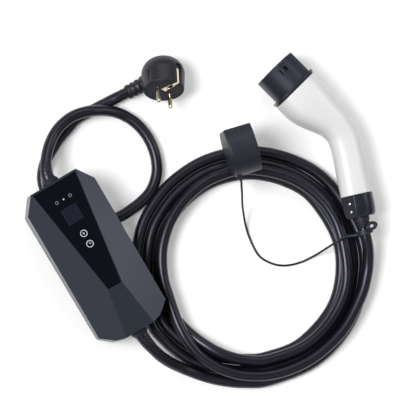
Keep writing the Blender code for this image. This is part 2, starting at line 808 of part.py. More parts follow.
sensor_profile = [
    (SENSOR_INNER_RADIUS, SENSOR_DEPTH / 2),
    (SENSOR_OUTER_RADIUS - SENSOR_BEVEL, SENSOR_DEPTH / 2),
    (SENSOR_OUTER_RADIUS, SENSOR_DEPTH / 2 - SENSOR_BEVEL),
    (SENSOR_OUTER_RADIUS, -SENSOR_DEPTH / 2 + SENSOR_BEVEL),
    (SENSOR_OUTER_RADIUS - SENSOR_BEVEL, -SENSOR_DEPTH / 2),
    (SENSOR_INNER_RADIUS, -SENSOR_DEPTH / 2),
]
sensor_place = Matrix.Translation((0.0, -MAIN_BOARD_LENGTH * 0.09, PART_FLOOR + SENSOR_OUTER_RADIUS))
turned(
    "leakage_sensor",
    sensor_profile,
    box_frame,
    ferrite_finish,
    steps=20,
    place=sensor_place @ Matrix.Rotation(math.radians(90.0), 4, "X"),
)
TERMINAL_TOP = GLAND_HEIGHT + CORD_DIAMETER / 2
terminal_size = (MAIN_BOARD_WIDTH * 0.45, TERMINAL_DEPTH, TERMINAL_TOP - PART_FLOOR)
on_board("input_terminals", terminal_size, 0.0, TERMINAL_Y, terminal_finish)
on_board("output_terminals", terminal_size, 0.0, -TERMINAL_Y, terminal_finish)
CORD_START_Y = TERMINAL_Y + TERMINAL_DEPTH / 2 + GAP

# Glands, turned about the cord and clamped in the wall
INNER_FLANGE_TOP = -BOX_WALL - GAP
gland_profile = [
    (BORE_RADIUS + 0.0012, GLAND_REACH),
    (GLAND_FLANGE_RADIUS - 0.0022, GLAND_REACH - 0.0006),
    (GLAND_FLANGE_RADIUS, 0.0022),
    (GLAND_FLANGE_RADIUS, GAP),
    (GLAND_NECK_RADIUS, GAP),
    (GLAND_NECK_RADIUS, INNER_FLANGE_TOP),
    (GLAND_FLANGE_RADIUS, INNER_FLANGE_TOP),
    (GLAND_FLANGE_RADIUS, INNER_FLANGE_TOP - GLAND_INNER_FLANGE),
    (BORE_RADIUS + SLIP, INNER_FLANGE_TOP - GLAND_INNER_FLANGE),
    (BORE_RADIUS + SLIP, GLAND_REACH - 0.0004),
]
for name, end in (("input_gland", 1), ("output_gland", -1)):
    gland_place = Matrix.Translation((0.0, end * HALF_LENGTH, GLAND_HEIGHT))
    gland_place = gland_place @ Matrix.Rotation(-end * math.radians(90.0), 4, "X")
    turned(name, gland_profile, box_frame, rubber_finish, steps=20, place=gland_place)


# Vehicle connector, with its nose towards +Y and its flat side at +X
def d_outline(radius, flat, sides=32):
    """A circle with one side cut flat, as points of X and Z about the nose's axis."""
    edge = math.acos(flat / radius)
    sweep = 2 * math.pi - 2 * edge
    angles = [edge + sweep * step / (sides - 1) for step in range(sides)]
    return [(NOSE_OFFSET + radius * math.cos(angle), radius * math.sin(angle)) for angle in angles]


def upright(name, outline, back, front, material=None):
    """An outline of X and Z, drawn along the connector's Y from back to front."""
    item = prism(name, [(x, -z) for x, z in outline], back, front, None, material)
    item.data.transform(Matrix.Rotation(math.radians(-90.0), 4, "X"))
    item.parent = connector_frame
    return item


FLANGE_FRONT = FLANGE_THICKNESS / 2
FLANGE_BACK = -FLANGE_THICKNESS / 2
SHELL_FRONT = FLANGE_BACK - SEAL_THICKNESS - 2 * GAP
stations = [
    (0.0000, 0.0000, 0.0, 0.0540, 0.0570, 2.9),
    (-0.0006, -0.0130, 1.0, 0.0545, 0.0572, 2.9),
    (-0.0002, -0.0265, 4.0, 0.0525, 0.0560, 2.8),
    (0.0024, -0.0420, 7.0, 0.0460, 0.0505, 2.6),
    (0.0045, -0.0575, 1.0, 0.0390, 0.0430, 2.4),
    (0.0036, -0.0690, -8.0, 0.0362, 0.0385, 2.3),
    (0.0010, -0.0775, -17.0, 0.0352, 0.0350, 2.3),
    (-0.0065, -0.0915, -27.0, 0.0345, 0.0335, 2.3),
    (-0.0200, -0.1120, -32.0, 0.0345, 0.0330, 2.3),
    (-0.0334, -0.1326, -32.5, 0.0353, 0.0330, 2.3),
]


def curve_value(values, where):
    """A smooth value between listed ones, at a place counted in list steps."""
    index = min(int(where), len(values) - 2)
    t = where - index
    start, end = values[index], values[index + 1]
    before = values[index - 1] if index > 0 else 2 * start - end
    after = values[index + 2] if index + 2 < len(values) else 2 * end - start
    middle = (end - before) * t + (2 * before - 5 * start + 4 * end - after) * t**2
    return start + (middle + (3 * start - before - 3 * end + after) * t**3) / 2


def body_section(where, grow=0.0, slide=0.0):
    """The shell's section at a place along its stations, grown, and slid along its own direction."""
    x, y, turn, width, height, squareness = (curve_value(column, where) for column in zip(*stations))
    across = Vector((math.cos(math.radians(turn)), math.sin(math.radians(turn)), 0.0))
    along = Vector((across.y, -across.x, 0.0))
    centre = Vector((x, y, 0.0)) + along * slide
    section = rounded_section(width + 2 * grow, height + 2 * grow, squareness, SHELL_SIDES)
    return [centre + across * a + Vector((0.0, 0.0, b)) for a, b in section]


def body_rings(first, last, count, grow=0.0):
    return [body_section(first + (last - first) * step / (count - 1), grow) for step in range(count)]


LAST_STATION = len(stations) - 1.0
SHELL_START = SHELL_FRONT / stations[1][1]
connector_shell = loft(
    "connector_shell",
    body_rings(SHELL_START, LAST_STATION, SHELL_SECTIONS),
    connector_frame,
    shell_finish,
)
shell_bore = loft(
    "shell_bore",
    [body_section(-0.2, -SHELL_WALL)]
    + body_rings(SHELL_START, LAST_STATION, BORE_SECTIONS, -SHELL_WALL)
    + [body_section(LAST_STATION, -SHELL_WALL, slide=SHELL_WALL)],
    connector_frame,
)
cut(connector_shell, shell_bore)

# Seal between the flange and the shell
SEAL_BACK = SHELL_FRONT + GAP
front_section = rounded_section(stations[0][3], stations[0][4], stations[0][5], 28)
spigot_width = stations[0][3] - 2 * SHELL_WALL - 4 * GAP
spigot_height = stations[0][4] - 2 * SHELL_WALL - 4 * GAP
spigot_section = rounded_section(spigot_width, spigot_height, stations[0][5], 28)
spigot_hole_section = rounded_section(
    spigot_width - 2 * SPIGOT_WALL, spigot_height - 2 * SPIGOT_WALL, stations[0][5], 28
)
seal_hole_section = rounded_section(spigot_width + 2 * GAP, spigot_height + 2 * GAP, stations[0][5], 28)
nose_gasket = upright("nose_gasket", front_section, SEAL_BACK, SEAL_BACK + SEAL_THICKNESS, rubber_finish)
cut(nose_gasket, upright("seal_hole", seal_hole_section, -NOSE_LENGTH, NOSE_LENGTH))

# Nose: flange, D-shaped shroud and the spigot that enters the shell
flange_section = rounded_section(FLANGE_WIDTH, FLANGE_HEIGHT, 3.2, 36)
connector_nose = upright("connector_nose", flange_section, FLANGE_BACK, FLANGE_FRONT, nose_finish)
shroud = upright("shroud", d_outline(NOSE_RADIUS, NOSE_FLAT), -FLANGE_THICKNESS / 4, NOSE_LENGTH)
spigot = upright("spigot", spigot_section, FLANGE_BACK - SPIGOT_LENGTH, 0.0)
fuse(connector_nose, shroud, spigot)
CARRIER_BACK = FLANGE_BACK + LEDGE
nose_bore = upright(
    "nose_bore", d_outline(NOSE_RADIUS - NOSE_WALL, NOSE_FLAT - NOSE_WALL), CARRIER_BACK - GAP, 2 * NOSE_LENGTH
)
spigot_bore = upright("spigot_bore", spigot_hole_section, -NOSE_LENGTH, CARRIER_BACK)
side_slots = [
    block(
        f"side_slot_{name}",
        (SLOT_WIDTH, SLOT_LENGTH, NOSE_RADIUS / 2),
        (NOSE_OFFSET, NOSE_LENGTH - SLOT_FROM_FRONT, side * NOSE_RADIUS),
        connector_frame,
    )
    for name, side in (("up", 1), ("down", -1))
]
cut(connector_nose, nose_bore, spigot_bore, *side_slots)

# Contact carrier: a D-shaped plate with seven towers
TOWER_TOP = NOSE_LENGTH - TOWER_RECESS
CARRIER_FRONT = CARRIER_BACK + CARRIER_PLATE
power_places = {"earth": (0.0, 0.0)}
for name, degrees in (("line", 0.0), ("line_two", -60.0), ("line_three", -120.0), ("neutral", 180.0)):
    angle = math.radians(degrees)
    power_places[name] = (CONTACT_CIRCLE * math.sin(angle), CONTACT_CIRCLE * math.cos(angle))
signal_places = {"pilot": (SIGNAL_RISE, SIGNAL_SPREAD), "proximity": (SIGNAL_RISE, -SIGNAL_SPREAD)}


def towers(name, places, radius, back, front, sides=16):
    ends = [((NOSE_OFFSET + x, back, z), (NOSE_OFFSET + x, front, z)) for x, z in places]
    return rods(name, radius, ends, connector_frame, sides=sides)


carrier_outline = d_outline(NOSE_RADIUS - NOSE_WALL - GAP, NOSE_FLAT - NOSE_WALL - GAP)
contact_carrier = upright("contact_carrier", carrier_outline, CARRIER_BACK, CARRIER_FRONT, carrier_finish)
fuse(
    contact_carrier,
    towers("power_towers", power_places.values(), POWER_TOWER_RADIUS, CARRIER_BACK + GAP, TOWER_TOP),
    towers("signal_towers", signal_places.values(), SIGNAL_TOWER_RADIUS, CARRIER_BACK + GAP, TOWER_TOP),
)
cut(
    contact_carrier,
    towers("power_bores", power_places.values(), POWER_BORE_RADIUS, -NOSE_LENGTH, 2 * NOSE_LENGTH, 12),
    towers("signal_bores", signal_places.values(), SIGNAL_BORE_RADIUS, -NOSE_LENGTH, 2 * NOSE_LENGTH, 12),
)


def contact(name, place, bore_radius, sleeve_bore):
    """A plated sleeve, open in front, with a solid tail for its wire."""
    x, z = place
    front = TOWER_TOP - SLEEVE_RECESS
    outer = bore_radius - GAP - SLIP
    profile = [
        (sleeve_bore, front),
        (outer, front),
        (outer, CARRIER_BACK),
        (outer * 0.6, CARRIER_BACK),
        (outer * 0.6, CARRIER_BACK - SLEEVE_TAIL),
        (0.0, CARRIER_BACK - SLEEVE_TAIL),
    ]
    floor = CARRIER_BACK + CARRIER_PLATE / 2
    profile = [(0.0, floor), (sleeve_bore, floor)] + profile
    sleeve_place = Matrix.Translation((NOSE_OFFSET + x, 0.0, z)) @ Matrix.Rotation(
        math.radians(-90.0), 4, "X"
    )
    return turned(name, profile, connector_frame, silver_finish, steps=12, place=sleeve_place)


for name in ("line", "neutral", "earth"):
    contact(name + "_contact", power_places[name], POWER_BORE_RADIUS, POWER_SLEEVE_BORE)
for name in ("pilot", "proximity"):
    contact(name + "_contact", signal_places[name], SIGNAL_BORE_RADIUS, SIGNAL_SLEEVE_BORE)

# Tail collar: it laps into the shell and ends round the cord's boot
tail_x, tail_y, tail_turn, tail_width, tail_height, tail_squareness = stations[-1]
tail_turn = math.radians(tail_turn)
tail_across = Vector((math.cos(tail_turn), math.sin(tail_turn), 0.0))
tail_along = Vector((tail_across.y, -tail_across.x, 0.0))
tail_centre = Vector((tail_x, tail_y, 0.0))


def tail_ring(along, grow, sides=SHELL_SIDES):
    section = rounded_section(tail_width + 2 * grow, tail_height + 2 * grow, tail_squareness, sides)
    centre = tail_centre + tail_along * along
    return [centre + tail_across * a + Vector((0.0, 0.0, b)) for a, b in section]


def shell_lap_ring(distance):
    """A ring inside the shell, this far back from its tail, and clear of the shell's wall."""
    last_step = (Vector(stations[-1][:2]) - Vector(stations[-2][:2])).length
    return body_section(LAST_STATION - distance / last_step, -SHELL_WALL - GAP)


def shrunk(ring, wall):
    """The same ring, moved in towards its middle by the wall."""
    middle = sum(ring, Vector()) / len(ring)
    return [point + (middle - point).normalized() * wall for point in ring]


lap_rings = [shell_lap_ring(COLLAR_LAP), shell_lap_ring(0.0)]
lap_rings.append(tail_ring(GAP, -SHELL_WALL - GAP))
tail_collar = loft(
    "tail_collar",
    lap_rings
    + [
        tail_ring(GAP + SLIP, 0.0),
        tail_ring(COLLAR_LENGTH * 0.5, 0.0),
        tail_ring(COLLAR_LENGTH * 0.85, -0.0006),
        tail_ring(COLLAR_LENGTH, -0.0022),
    ],
    connector_frame,
    nose_finish,
)
collar_bore = loft(
    "collar_bore",
    [
        shrunk(shell_lap_ring(COLLAR_LAP + COLLAR_WALL), COLLAR_WALL),
        shrunk(lap_rings[0], COLLAR_WALL),
        shrunk(lap_rings[2], COLLAR_WALL),
        tail_ring(COLLAR_LENGTH * 0.5, -SHELL_WALL - COLLAR_WALL),
        tail_ring(COLLAR_LENGTH - COLLAR_WALL, -SHELL_WALL - COLLAR_WALL),
    ],
    connector_frame,
)
boot_hole = rods(
    "boot_hole",
    BOOT_RADIUS - 0.0010 + GAP,
    [(tail_centre, tail_centre + tail_along * 2 * COLLAR_LENGTH)],
    connector_frame,
    sides=20,
)
# The flat on the collar's hollow side, tilted up, that the two screws enter
flat_out = -tail_across * math.cos(COLLAR_FLAT_TILT) + Vector((0.0, 0.0, math.sin(COLLAR_FLAT_TILT)))
flat_turn = flat_out.to_track_quat("Z", "Y").to_matrix().to_4x4()
flat_middle = tail_centre + tail_along * (COLLAR_LENGTH * 0.53) + flat_out * COLLAR_FLAT
flat_cut = block(
    "flat_cut", (COLLAR_LENGTH * 4, COLLAR_LENGTH * 4, COLLAR_FLAT), (0.0, 0.0, 0.0), connector_frame
)
flat_cut.matrix_local = Matrix.Translation(flat_middle + flat_out * COLLAR_FLAT / 2) @ flat_turn
lap_guard = loft(
    "lap_guard",
    [tail_ring(-COLLAR_LENGTH, SHELL_WALL), tail_ring(0.0, SHELL_WALL)],
    connector_frame,
)
cut(flat_cut, lap_guard)
cut(tail_collar, flat_cut, collar_bore, boot_hole)
collar_screw_places = [
    flat_middle + tail_along * (COLLAR_SCREW_SPACING * side / 2) for side in (-1, 1)
]
COLLAR_SCREW_SEAT = 0.0014
collar_screw_holes = [
    rods(
        f"collar_screw_hole_{index}",
        SCREW_HEAD_RADIUS * 0.7 + GAP,
        [(place - flat_out * COLLAR_SCREW_SEAT, place + flat_out * COLLAR_WALL)],
        connector_frame,
    )
    for index, place in enumerate(collar_screw_places, 1)
]
cut(tail_collar, *collar_screw_holes)
collar_screw_profile = [
    (0.0, 0.0),
    (SCREW_HEAD_RADIUS * 0.45, -0.0001),
    (SCREW_HEAD_RADIUS * 0.7, -0.0006),
    (SCREW_HEAD_RADIUS * 0.7, -COLLAR_SCREW_SEAT + GAP),
    (0.0, -COLLAR_SCREW_SEAT + GAP),
]
for index, place in enumerate(collar_screw_places, 1):
    turned(
        f"collar_screw_{index}",
        collar_screw_profile,
        connector_frame,
        steel_finish,
        steps=12,
        place=Matrix.Translation(place) @ flat_turn,
    )

# Boot at the connector's end of the cord
boot_turn = tail_along.to_track_quat("Z", "Y").to_matrix().to_4x4()
boot_place = Matrix.Translation(tail_centre + tail_along * COLLAR_LENGTH) @ boot_turn
boot_profile = [
    (0.0, BOOT_LENGTH),
    (BOOT_TIP_RADIUS, BOOT_LENGTH),
    (BOOT_TIP_RADIUS + 0.0008, BOOT_LENGTH * 0.70),
    (BOOT_RADIUS - 0.0010, BOOT_LENGTH * 0.45),
    (BOOT_RADIUS - 0.0012, -COLLAR_WALL - GAP),
    (BOOT_RADIUS + 0.0006, -COLLAR_WALL - GAP),
    (BOOT_RADIUS + 0.0006, -COLLAR_WALL - 0.0030),
    (0.0, -COLLAR_WALL - 0.0030),
]
turned("cable_boot", boot_profile, connector_frame, rubber_finish, steps=20, place=boot_place)

# Mains plug, with its pins along the frame's Z and its earth socket towards +X
pin_direction = Vector(PLUG_PIN_DIRECTION).normalized()
earth_direction = Vector(PLUG_EARTH_DIRECTION)
earth_direction = (earth_direction - pin_direction * earth_direction.dot(pin_direction)).normalized()
pin_line = pin_direction.cross(earth_direction)
plug_turn = Matrix((earth_direction, pin_line, pin_direction)).transposed().to_4x4()
level_share = math.sqrt(1.0 - pin_direction.z**2)
PLUG_BULGE = PLUG_DEPTH * 0.55
PLUG_FACE_HEIGHT = PLUG_BULGE * pin_direction.z + PLUG_GRIP_RADIUS * level_share + 0.0012
plug_place = Matrix.Translation((*PLUG_POSITION, PLUG_FACE_HEIGHT)) @ plug_turn
plug_frame = empty("plug_frame", plug_place)
PLUG_BODY_RADIUS = PLUG_FACE_RADIUS + PLUG_RIM
plug_profile = [
    (0.0, 0.0),
    (PLUG_BODY_RADIUS - 0.0005, 0.0),
    (PLUG_BODY_RADIUS, -0.0006),
    (PLUG_BODY_RADIUS + 0.0004, -PLUG_DEPTH * 0.16),
    (PLUG_GRIP_RADIUS - 0.0006, -PLUG_DEPTH * 0.36),
    (PLUG_GRIP_RADIUS, -PLUG_BULGE),
    (PLUG_GRIP_RADIUS - 0.0014, -PLUG_DEPTH * 0.72),
    (PLUG_GRIP_RADIUS - 0.0050, -PLUG_DEPTH * 0.87),
    (PLUG_BACK_RADIUS, -PLUG_DEPTH * 0.965),
    (PLUG_BACK_RADIUS * 0.5, -PLUG_DEPTH),
    (0.0, -PLUG_DEPTH),
]
plug_body = turned("plug_body", plug_profile, plug_frame, plug_finish, steps=24)
boot_away = Vector((-earth_direction.x, -earth_direction.y, 0.0)).normalized()
plug_middle = plug_place @ Vector((0.0, 0.0, -PLUG_BULGE))
boot_start = plug_middle - earth_direction * (PLUG_GRIP_RADIUS * 0.30)
boot_lean = plug_middle - earth_direction * (PLUG_GRIP_RADIUS * 0.80)
PLUG_BOOT_END_HEIGHT = PLUG_BOOT_TIP_RADIUS + GAP
boot_end = Vector((plug_middle.x, plug_middle.y, 0.0)) + boot_away * PLUG_BOOT_REACH
boot_end.z = PLUG_BOOT_END_HEIGHT
boot_bend = Vector((plug_middle.x, plug_middle.y, 0.0)) + boot_away * PLUG_BOOT_BEND
boot_bend.z = PLUG_BOOT_END_HEIGHT + 0.0025
boot_level = boot_end - boot_away * PLUG_BOOT_LEVEL
BOOT_POINTS = 14
boot_points = smooth_route([boot_start, boot_lean, boot_bend, boot_level, boot_end], BOOT_POINTS)
boot_radii = []
for index in range(BOOT_POINTS):
    share = index / (BOOT_POINTS - 1)
    neck = max(0.0, 1.0 - share / PLUG_NECK_SHARE)
    smooth = PLUG_BOOT_RADIUS + (PLUG_BOOT_TIP_RADIUS - PLUG_BOOT_RADIUS) * share
    smooth += (PLUG_NECK_RADIUS - PLUG_BOOT_RADIUS) * neck
    groove_share = 1.0 if index % 3 or index < 6 or index > 12 else 0.86
    boot_radii.append(smooth * groove_share)
plug_boot_curve = tube("plug_boot_curve", boot_points, CORD_DIAMETER, plug_finish, 2, boot_radii)
plug_boot = as_mesh(plug_boot_curve, "plug_boot", plug_frame)
plug_boot.matrix_parent_inverse = plug_place.inverted()
fuse(plug_body, plug_boot)
face_pocket = rods(
    "face_pocket",
    PLUG_FACE_RADIUS + GAP,
    [((0.0, 0.0, -PLUG_FACE_THICKNESS - GAP), (0.0, 0.0, PLUG_DEPTH))],
    plug_frame,
    sides=28,
)
pin_places = {"line_pin": PIN_SPACING / 2, "neutral_pin": -PIN_SPACING / 2}
pin_holes = rods(
    "pin_holes",
    PIN_RADIUS + GAP,
    [((0.0, y, -PIN_ROOT - GAP), (0.0, y, PLUG_DEPTH)) for y in pin_places.values()],
    plug_frame,
)
# The earth strip lies in a slot of the face and runs back along a groove in the body's side
STRIP_TOP = -2 * GAP
STRIP_LOW = STRIP_TOP - EARTH_STRIP_THICKNESS
STRIP_OUT = PLUG_BODY_RADIUS - GAP
STRIP_IN = STRIP_OUT - EARTH_STRIP_THICKNESS
STRIP_LENGTH = STRIP_OUT + EARTH_STRIP_START
SLOT_LOW = STRIP_LOW - GAP
strip_slot = block(
    "strip_slot",
    (STRIP_LENGTH + PLUG_DEPTH, EARTH_STRIP_WIDTH + 2 * GAP, PLUG_DEPTH),
    ((STRIP_LENGTH + PLUG_DEPTH) / 2 - EARTH_STRIP_START - GAP, 0.0, SLOT_LOW + PLUG_DEPTH / 2),
    plug_frame,
)
GROOVE_LOW = STRIP_TOP - EARTH_STRIP_LENGTH - GAP
side_groove = block(
    "side_groove",
    (PLUG_DEPTH, EARTH_STRIP_WIDTH + 4 * GAP, PLUG_DEPTH),
    (STRIP_IN - GAP + PLUG_DEPTH / 2, 0.0, GROOVE_LOW + PLUG_DEPTH / 2),
    plug_frame,
)
socket_seat = rods(
    "socket_seat",
    EARTH_SOCKET_RADIUS + GAP,
    [((EARTH_SOCKET_OFFSET, 0.0, -EARTH_SOCKET_DEPTH - GAP), (EARTH_SOCKET_OFFSET, 0.0, PLUG_DEPTH))],
    plug_frame,
    sides=16,
)
fuse(pin_holes, strip_slot, socket_seat)
fuse(face_pocket, pin_holes, side_groove)
cut(plug_body, face_pocket)
plug_face_profile = [
    (0.0, -GAP),
    (PLUG_FACE_RADIUS - 0.0004, -GAP),
    (PLUG_FACE_RADIUS, -GAP - 0.0004),
    (PLUG_FACE_RADIUS, -PLUG_FACE_THICKNESS),
    (0.0, -PLUG_FACE_THICKNESS),
]
plug_face = turned("plug_face", plug_face_profile, plug_frame, plug_finish, steps=28)
cut(plug_face, pin_holes)
pin_profile = [
    (0.0, PIN_LENGTH),
    (PIN_RADIUS * 0.55, PIN_LENGTH - 0.0003),
    (PIN_RADIUS * 0.90, PIN_LENGTH - 0.0012),
    (PIN_RADIUS, PIN_LENGTH - 0.0024),
    (PIN_RADIUS, -PIN_ROOT),
    (0.0, -PIN_ROOT),
]
for name, y in pin_places.items():
    turned(name, pin_profile, plug_frame, nickel_finish, steps=16, place=Matrix.Translation((0.0, y, 0.0)))
earth_clip = block(
    "earth_clip",
    (STRIP_LENGTH, EARTH_STRIP_WIDTH, EARTH_STRIP_THICKNESS),
    (STRIP_LENGTH / 2 - EARTH_STRIP_START, 0.0, (STRIP_TOP + STRIP_LOW) / 2),
    plug_frame,
    nickel_finish,
)
LEG_TOP = STRIP_TOP - EARTH_STRIP_THICKNESS / 2
LEG_LENGTH = EARTH_STRIP_LENGTH - EARTH_STRIP_THICKNESS / 2
strip_leg = block(
    "strip_leg",
    (EARTH_STRIP_THICKNESS, EARTH_STRIP_WIDTH * 0.9, LEG_LENGTH),
    ((STRIP_OUT + STRIP_IN) / 2 - SLIP, 0.0, LEG_TOP - LEG_LENGTH / 2),
    plug_frame,
)
socket_tube = rods(
    "socket_tube",
    EARTH_SOCKET_RADIUS,
    [((EARTH_SOCKET_OFFSET, 0.0, -EARTH_SOCKET_DEPTH), (EARTH_SOCKET_OFFSET, 0.0, LEG_TOP))],
    plug_frame,
    sides=16,
)
socket_bore = rods(
    "socket_bore",
    PIN_RADIUS + SLIP,
    [((EARTH_SOCKET_OFFSET, 0.0, -PLUG_DEPTH), (EARTH_SOCKET_OFFSET, 0.0, PLUG_DEPTH))],
    plug_frame,
    sides=16,
)
fuse(earth_clip, strip_leg, socket_tube)
cut(earth_clip, socket_bore)


# Dust cap, lying on the coil with its closed end at -X of its own frame
def cap_outline(grow, sides=32):
    """The nose's D shape grown by this much, as points of Y and Z."""
    return [(x - NOSE_OFFSET, z) for x, z in d_outline(NOSE_RADIUS + grow, NOSE_FLAT + grow, sides)]


CAP_GROW = CAP_CLEARANCE + CAP_WALL
CAP_HEIGHT = COIL_HEIGHT + GAP + NOSE_RADIUS + CAP_GROW
cap_middle = (NOSE_RADIUS - NOSE_FLAT) / 2
cap_place = Matrix.Translation((*CAP_POSITION, CAP_HEIGHT)) @ Matrix.Rotation(CAP_TURN, 4, "Z")
cap_frame = empty("cap_frame", cap_place)


def cap_ring(along, grow):
    return [Vector((along, y + cap_middle, z)) for y, z in cap_outline(grow)]


CAP_BACK = -CAP_DEPTH / 2
CAP_FRONT = CAP_DEPTH / 2
dust_cap = loft(
    "dust_cap",
    [
        cap_ring(CAP_BACK, CAP_GROW - 0.0022),
        cap_ring(CAP_BACK + 0.0007, CAP_GROW - 0.0007),
        cap_ring(CAP_BACK + 0.0022, CAP_GROW),
        cap_ring(CAP_FRONT, CAP_GROW),
    ],
    cap_frame,
    cap_finish,
)
cap_hollow = loft(
    "cap_hollow",
    [cap_ring(CAP_BACK + CAP_END, CAP_CLEARANCE), cap_ring(CAP_FRONT + CAP_DEPTH, CAP_CLEARANCE)],
    cap_frame,
)
LUG_Y = -(NOSE_RADIUS + CAP_GROW) + cap_middle - CAP_LUG_RADIUS * 0.6
cap_lug = rods(
    "cap_lug",
    CAP_LUG_RADIUS,
    [((CAP_BACK + CAP_LUG_RADIUS * 2.0, LUG_Y, -0.0015), (CAP_BACK + CAP_LUG_RADIUS * 2.0, LUG_Y, 0.0015))],
    cap_frame,
)
cut(dust_cap, cap_hollow)
fuse(dust_cap, cap_lug)

# Input cord: from the box round its loop, under the box and up to the plug

def in_box(y, height=GLAND_HEIGHT):
    return box_place @ Vector((0.0, y, height))


FLOOR_HEIGHT = CORD_DIAMETER / 2 + 2 * SLIP
CROSSING_HEIGHT = FLOOR_HEIGHT + CORD_DIAMETER + 2 * GAP
loop_over = [
    (-0.0984, 0.1526, 0.0334),
    (-0.0920, 0.1584, 0.0266),
    (-0.0839, 0.1640, CROSSING_HEIGHT),
    (-0.0727, 0.1700, CROSSING_HEIGHT),
    (-0.0599, 0.1742, CROSSING_HEIGHT),
    (-0.0455, 0.1750, CROSSING_HEIGHT),
    (-0.0316, 0.1722, CROSSING_HEIGHT),
    (-0.0165, 0.1640, 0.0180),
    (-0.0010, 0.1502, 0.0110),
]
loop_floor = [
    (0.0081, 0.1352),
    (0.0119, 0.1180),
    (0.0106, 0.0998),
    (0.0043, 0.0825),
    (-0.0050, 0.0690),
    (-0.0151, 0.0606),
    (-0.0286, 0.0546),
    (-0.0433, 0.0534),
    (-0.0585, 0.0550),
    (-0.0762, 0.0593),
    (-0.0993, 0.0727),
    (-0.1146, 0.0933),
    (-0.1183, 0.1150),
    (-0.1127, 0.1345),
    (-0.1030, 0.1495),
    (-0.0880, 0.1592),
    (-0.0724, 0.1635),
    (-0.0592, 0.1662),
    (-0.0440, 0.1672),
    (-0.0299, 0.1674),
]
cord_off_boot = boot_end + boot_away * 2 * GAP
loop_end = [
    cord_off_boot + boot_away * 0.0240 + Vector((0.0, 0.0, FLOOR_HEIGHT - PLUG_BOOT_END_HEIGHT)),
    cord_off_boot + boot_away * 0.0120,
    cord_off_boot,
]
input_route = (
    [in_box(CORD_START_Y), in_box(HALF_LENGTH), in_box(HALF_LENGTH + 0.8 * CORD_DIAMETER)]
    + loop_over
    + [(x, y, FLOOR_HEIGHT) for x, y in loop_floor]
    + loop_end
)
tube("input_cord", smooth_route(input_route, 46), CORD_DIAMETER, cord_finish)

# Output cord: from the box to the coil, the coil, and from the coil to the connector
box_lead_route = [
    in_box(-CORD_START_Y),
    in_box(-HALF_LENGTH),
    in_box(-HALF_LENGTH - 1.1 * CORD_DIAMETER),
    (-0.1524, -0.0790, 0.0270),
    (-0.1487, -0.0930, 0.0130),
    (-0.1430, -0.1060, 0.0072),
    (-0.1350, -0.1220, FLOOR_HEIGHT),
    (-0.1275, -0.1380, FLOOR_HEIGHT),
    (-0.1178, -0.1548, FLOOR_HEIGHT),
]
tube("output_lead_box", smooth_route(box_lead_route, 20), CORD_DIAMETER, cord_finish)
COIL_ROUND = (COIL_OUTER_RADIUS - COIL_INNER_RADIUS) * 0.1687
coil_profile = [
    (COIL_INNER_RADIUS + COIL_ROUND, COIL_HEIGHT),
    (COIL_OUTER_RADIUS - COIL_ROUND, COIL_HEIGHT),
    (COIL_OUTER_RADIUS, COIL_HEIGHT - COIL_ROUND),
    (COIL_OUTER_RADIUS, COIL_ROUND),
    (COIL_OUTER_RADIUS - COIL_ROUND, 0.0),
    (COIL_INNER_RADIUS + COIL_ROUND, 0.0),
    (COIL_INNER_RADIUS, COIL_ROUND),
    (COIL_INNER_RADIUS, COIL_HEIGHT - COIL_ROUND),
]
output_coil = turned(
    "output_coil",
    coil_profile,
    None,
    cord_finish,
    steps=COIL_STEPS,
    place=Matrix.Translation((*COIL_CENTRE, 2 * SLIP)),
)
# One layer of the coil passes under the box and under the connector's tail
ONE_LAYER = CORD_DIAMETER + 2 * SLIP
under_box = prism(
    "under_box", box_outline(-0.009), ONE_LAYER - BOX_REST_HEIGHT, BOX_HEIGHT, box_frame
)
under_tail = block(
    "under_tail",
    (tail_width + 2 * TAIL_ROOM, 2 * (COLLAR_LENGTH + TAIL_ROOM), CONNECTOR_HEIGHT),
    (0.0, 0.0, ONE_LAYER - CONNECTOR_HEIGHT / 2),
    connector_frame,
)
under_tail.matrix_local = Matrix.Translation(tail_centre + tail_along * COLLAR_LENGTH / 2) @ Matrix.Rotation(
    tail_turn, 4, "Z"
)
cut(output_coil, under_box, under_tail)

LEAD_RADIUS = COIL_OUTER_RADIUS + CORD_DIAMETER / 2 + 2 * GAP
lead_arc = [
    (
        COIL_CENTRE[0] + LEAD_RADIUS * math.cos(math.radians(degrees)),
        COIL_CENTRE[1] + LEAD_RADIUS * math.sin(math.radians(degrees)),
        FLOOR_HEIGHT,
    )
    for degrees in range(-110, -49, 10)
]
boot_tip = connector_place @ (tail_centre + tail_along * (COLLAR_LENGTH + BOOT_LENGTH + GAP))
straight_run = boot_tip + tail_along * CORD_DIAMETER
off_boot = boot_tip + tail_along * 2.0 * CORD_DIAMETER
off_boot.z = boot_tip.z - 0.0050
off_boot_angle = math.atan2(off_boot.y - COIL_CENTRE[1], off_boot.x - COIL_CENTRE[0])
half_angle = (off_boot_angle + math.radians(-50)) / 2
half_way = Vector(
    (
        COIL_CENTRE[0] + LEAD_RADIUS * math.cos(half_angle),
        COIL_CENTRE[1] + LEAD_RADIUS * math.sin(half_angle),
        FLOOR_HEIGHT + 0.0070,
    )
)
connector_lead_route = lead_arc + [half_way, off_boot, straight_run, boot_tip]
tube("output_lead_connector", smooth_route(connector_lead_route, 26), CORD_DIAMETER, cord_finish)

